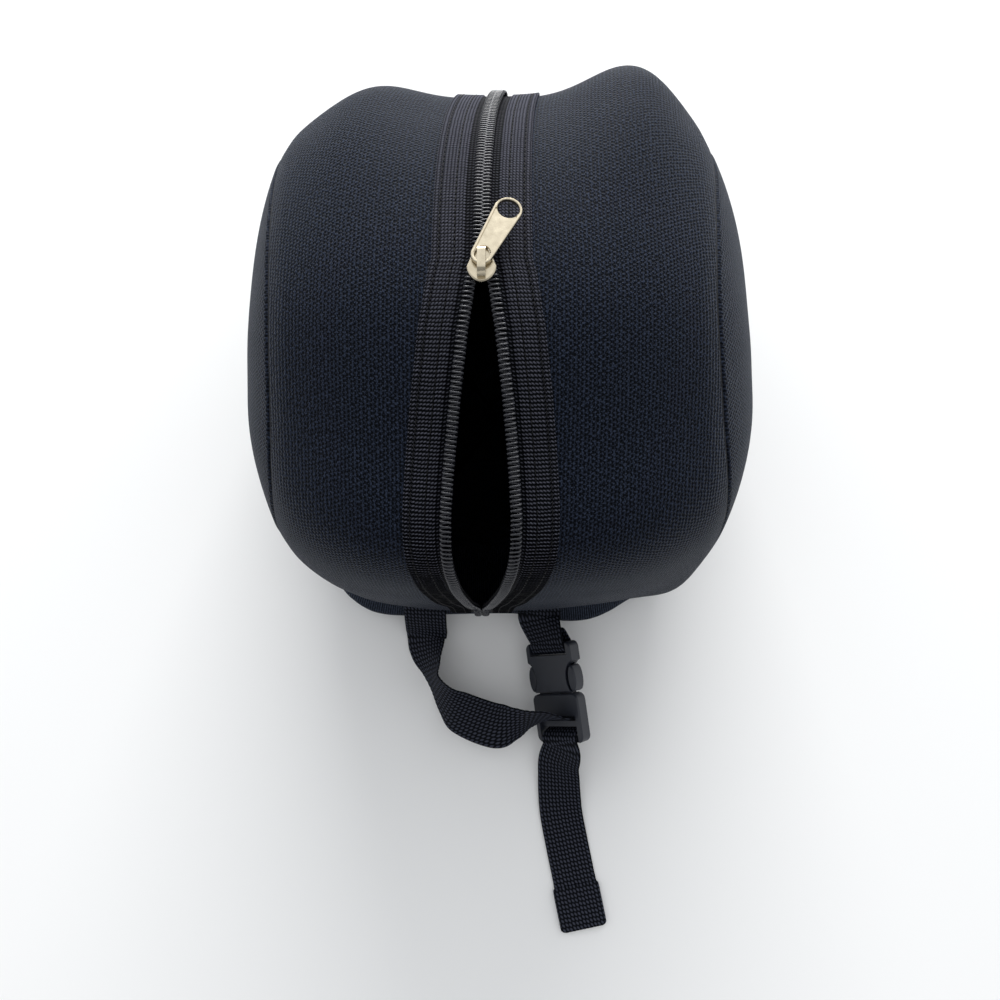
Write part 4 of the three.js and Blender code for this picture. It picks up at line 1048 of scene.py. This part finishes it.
def strap_mesh(name, rows):
    """Webbing carried along its rows. At each place the section is a flat loop, one face out and the other
    back, across a width direction that is made nearly square to the path. The corners of its end are quarter
    circles, and the height of the weave at each point is kept for the material, which paints it as a
    highlight on the crowns and as shade in the hollows."""
    line_places = np.linspace(0, len(rows) - 1, STRAP_LINE_POINTS)
    run = run_along(between_rows(rows, line_places)[:, PLACE])
    at = np.linspace(0, run[-1], int(run[-1] / STRAP_STEP) + 1)
    row = between_rows(rows, np.interp(at, run, line_places))
    middle = row[:, PLACE]
    line = unit(np.gradient(middle, axis=0))
    width = row[:, ACROSS]
    width = unit(width - SQUARING * np.sum(width * line, axis=1, keepdims=True) * line)
    face = unit(np.cross(line, width))
    share = np.linspace(-1, 1, FACE_STEPS)
    corner = rounded(run[-1] - at, END_ROUND)[:, None] - END_ROUND
    across = share[None] * (WEB_WIDTH / 2 * row[:, WIDTH_SHARE] + corner)
    edge = np.sqrt(np.clip((1 - np.abs(share)) / EDGE_SHARE, 0, 1))[None]
    half = WEB_THICK / 2 * row[:, THICK_SHARE]
    up_weave = weave(across, at[:, None])
    down_weave = weave(across + WEAVE_ACROSS / 2, at[:, None])
    up = (half - up_weave) * edge
    down = (half - down_weave) * edge
    loop_across = np.concatenate([across, across[:, -2:0:-1]], axis=1)
    loop_rise = np.concatenate([up, -down[:, -2:0:-1]], axis=1)
    points = middle[:, None] + width[:, None] * loop_across[..., None] + face[:, None] * loop_rise[..., None]
    count, size = loop_rise.shape
    numbers = np.arange(count * size).reshape(count, size)
    places = np.stack(np.broadcast_arrays(wrap(loop_across), at[:, None]), axis=-1)
    piece = put_mesh(name, points.reshape(-1, 3), [
        quads(wrap(numbers), places),
        (numbers[:1], places[:1, :size]),
        (numbers[-1:, ::-1], places[-1:, size - 1::-1]),
    ])
    # The weave's heights are stored for the material's painted highlight and painted shade.
    painted_crown_light = piece.data.attributes.new("painted_crown_light", "FLOAT", "POINT")
    height = 1 - np.concatenate([up_weave, down_weave[:, -2:0:-1]], axis=1) / WEAVE_DEEP
    painted_crown_light.data.foreach_set("value", height.astype(np.float32).ravel())
    return piece


# Woven polypropylene webbing: smooth shiny filaments in thick floats, black. The colour is a painted
# highlight on the crowns and painted shade, near black, in the hollows of the weave.
FILAMENTS = (3600.0, 500.0, 1.0)
webbing = new_material("woven_polypropylene_webbing", {
    "Roughness": 0.5,
    "IOR": 1.49,
    "Specular IOR Level": 0.05,
    "Sheen Weight": 0.005,
    "Sheen Roughness": 0.4,
})
cloth = add_node(webbing, "ShaderNodeUVMap", {"uv_map": "cloth"})
drawn_out = add_node(webbing, "ShaderNodeMapping", {"Scale": FILAMENTS}, {"Vector": cloth.outputs[0]})
filaments = add_node(webbing, "ShaderNodeTexNoise", {"Scale": 1.0, "Detail": 2.0}, {
    "Vector": drawn_out.outputs[0],
})
crowns = add_node(webbing, "ShaderNodeAttribute", {"attribute_name": "painted_crown_light"})
# Painted highlight and shade: the crown heights, with a little filament noise, set how light the colour is.
filaments_and_painted_crown_light = add_node(webbing, "ShaderNodeMath", {"operation": "MULTIPLY_ADD", 1: 0.3}, {
    0: filaments.outputs[0],
    2: crowns.outputs["Fac"],
})
web_colour = add_node(webbing, "ShaderNodeValToRGB", {"ramp": ((0.6, "#05070c"), (1.0, "#3a3d48"))}, {
    0: filaments_and_painted_crown_light.outputs[0],
})
bump = add_node(webbing, "ShaderNodeBump", {"Strength": 0.3, "Distance": 0.0002}, {
    "Height": filaments.outputs[0],
})
feed_shader(webbing, {"Base Color": web_colour.outputs[0], "Normal": bump.outputs[0]})

long_rows = np.concatenate([
    leg_rows(STRAP_LEG, -LEG_ACROSS),
    STRAP_LOOP,
    buckle_rows(STRAP_CLIP),
    STRAP_TAIL,
])
short_rows = np.concatenate([leg_rows(SHORT_LEG, LEG_ACROSS), buckle_rows(STRAP_SOCKET)])
dress(strap_mesh("strap_long_webbing", long_rows), webbing, "strap_long")
dress(strap_mesh("strap_short_webbing", short_rows), webbing, "strap_short")

# Studio: a pale floor, a large soft light low behind the bag and a pale surround that is brighter towards the
# back than towards the front. Lengths from here on are metres.
FLOOR = 30
WINDOW = {"at": np.array([0.1, 1.9, 0.75]), "to": np.array([0, 0, 0.15]), "size": 1.3, "watts": 54}
floor_mesh = bpy.data.meshes.new("floor")
floor_corners = [(-FLOOR, -FLOOR, 0), (FLOOR, -FLOOR, 0), (FLOOR, FLOOR, 0), (-FLOOR, FLOOR, 0)]
floor_mesh.from_pydata(floor_corners, [], [(0, 1, 2, 3)])
floor = bpy.data.objects.new("floor", floor_mesh)
bpy.context.scene.collection.objects.link(floor)
floor_paint = new_material("matt_white_floor", {"Base Color": linear("#f4f4f3"), "Roughness": 0.9})
floor_mesh.materials.append(floor_paint)

lamp = bpy.data.lights.new("far_window", "AREA")
lamp.size = WINDOW["size"]
lamp.energy = WINDOW["watts"]
light = bpy.data.objects.new("far_window", lamp)
aim = unit(WINDOW["to"] - WINDOW["at"])
light.location = WINDOW["at"]
light.rotation_euler = (np.arccos(-aim[2]), 0, np.arctan2(-aim[0], aim[1]))
bpy.context.scene.collection.objects.link(light)

world = bpy.data.worlds.new("pale_surround")
world.use_nodes = True
background = world.node_tree.nodes["Background"]
direction = add_node(world, "ShaderNodeTexCoord")
towards = add_node(world, "ShaderNodeSeparateXYZ", None, {0: direction.outputs["Generated"]})
glow = add_node(world, "ShaderNodeMapRange", {
    "From Min": -1.0,
    "From Max": 1.0,
    "To Min": 0.3,
    "To Max": 1.42,
}, {"Value": towards.outputs[1]})
background.inputs["Color"].default_value = linear("#f6f8fb")
world.node_tree.links.new(glow.outputs[0], background.inputs["Strength"])
bpy.context.scene.world = world
bpy.context.scene.view_settings.view_transform = "Standard"

# Camera: held above the front of the bag and tipped a little towards its back. Its focal length is given in
# pixels of the picture's width.
CAMERA_AT = (0.0, -0.117, 0.4606)
TILT = np.radians(8)
SENSOR = 36.0
FOCAL_PIXELS = 740
PICTURE_PIXELS = 1000
camera_data = bpy.data.cameras.new("camera")
camera_data.sensor_width = SENSOR
camera_data.lens = SENSOR * FOCAL_PIXELS / PICTURE_PIXELS
camera = bpy.data.objects.new("camera", camera_data)
camera.location = CAMERA_AT
camera.rotation_euler = (TILT, 0, 0)
bpy.context.scene.collection.objects.link(camera)
bpy.context.scene.camera = camera
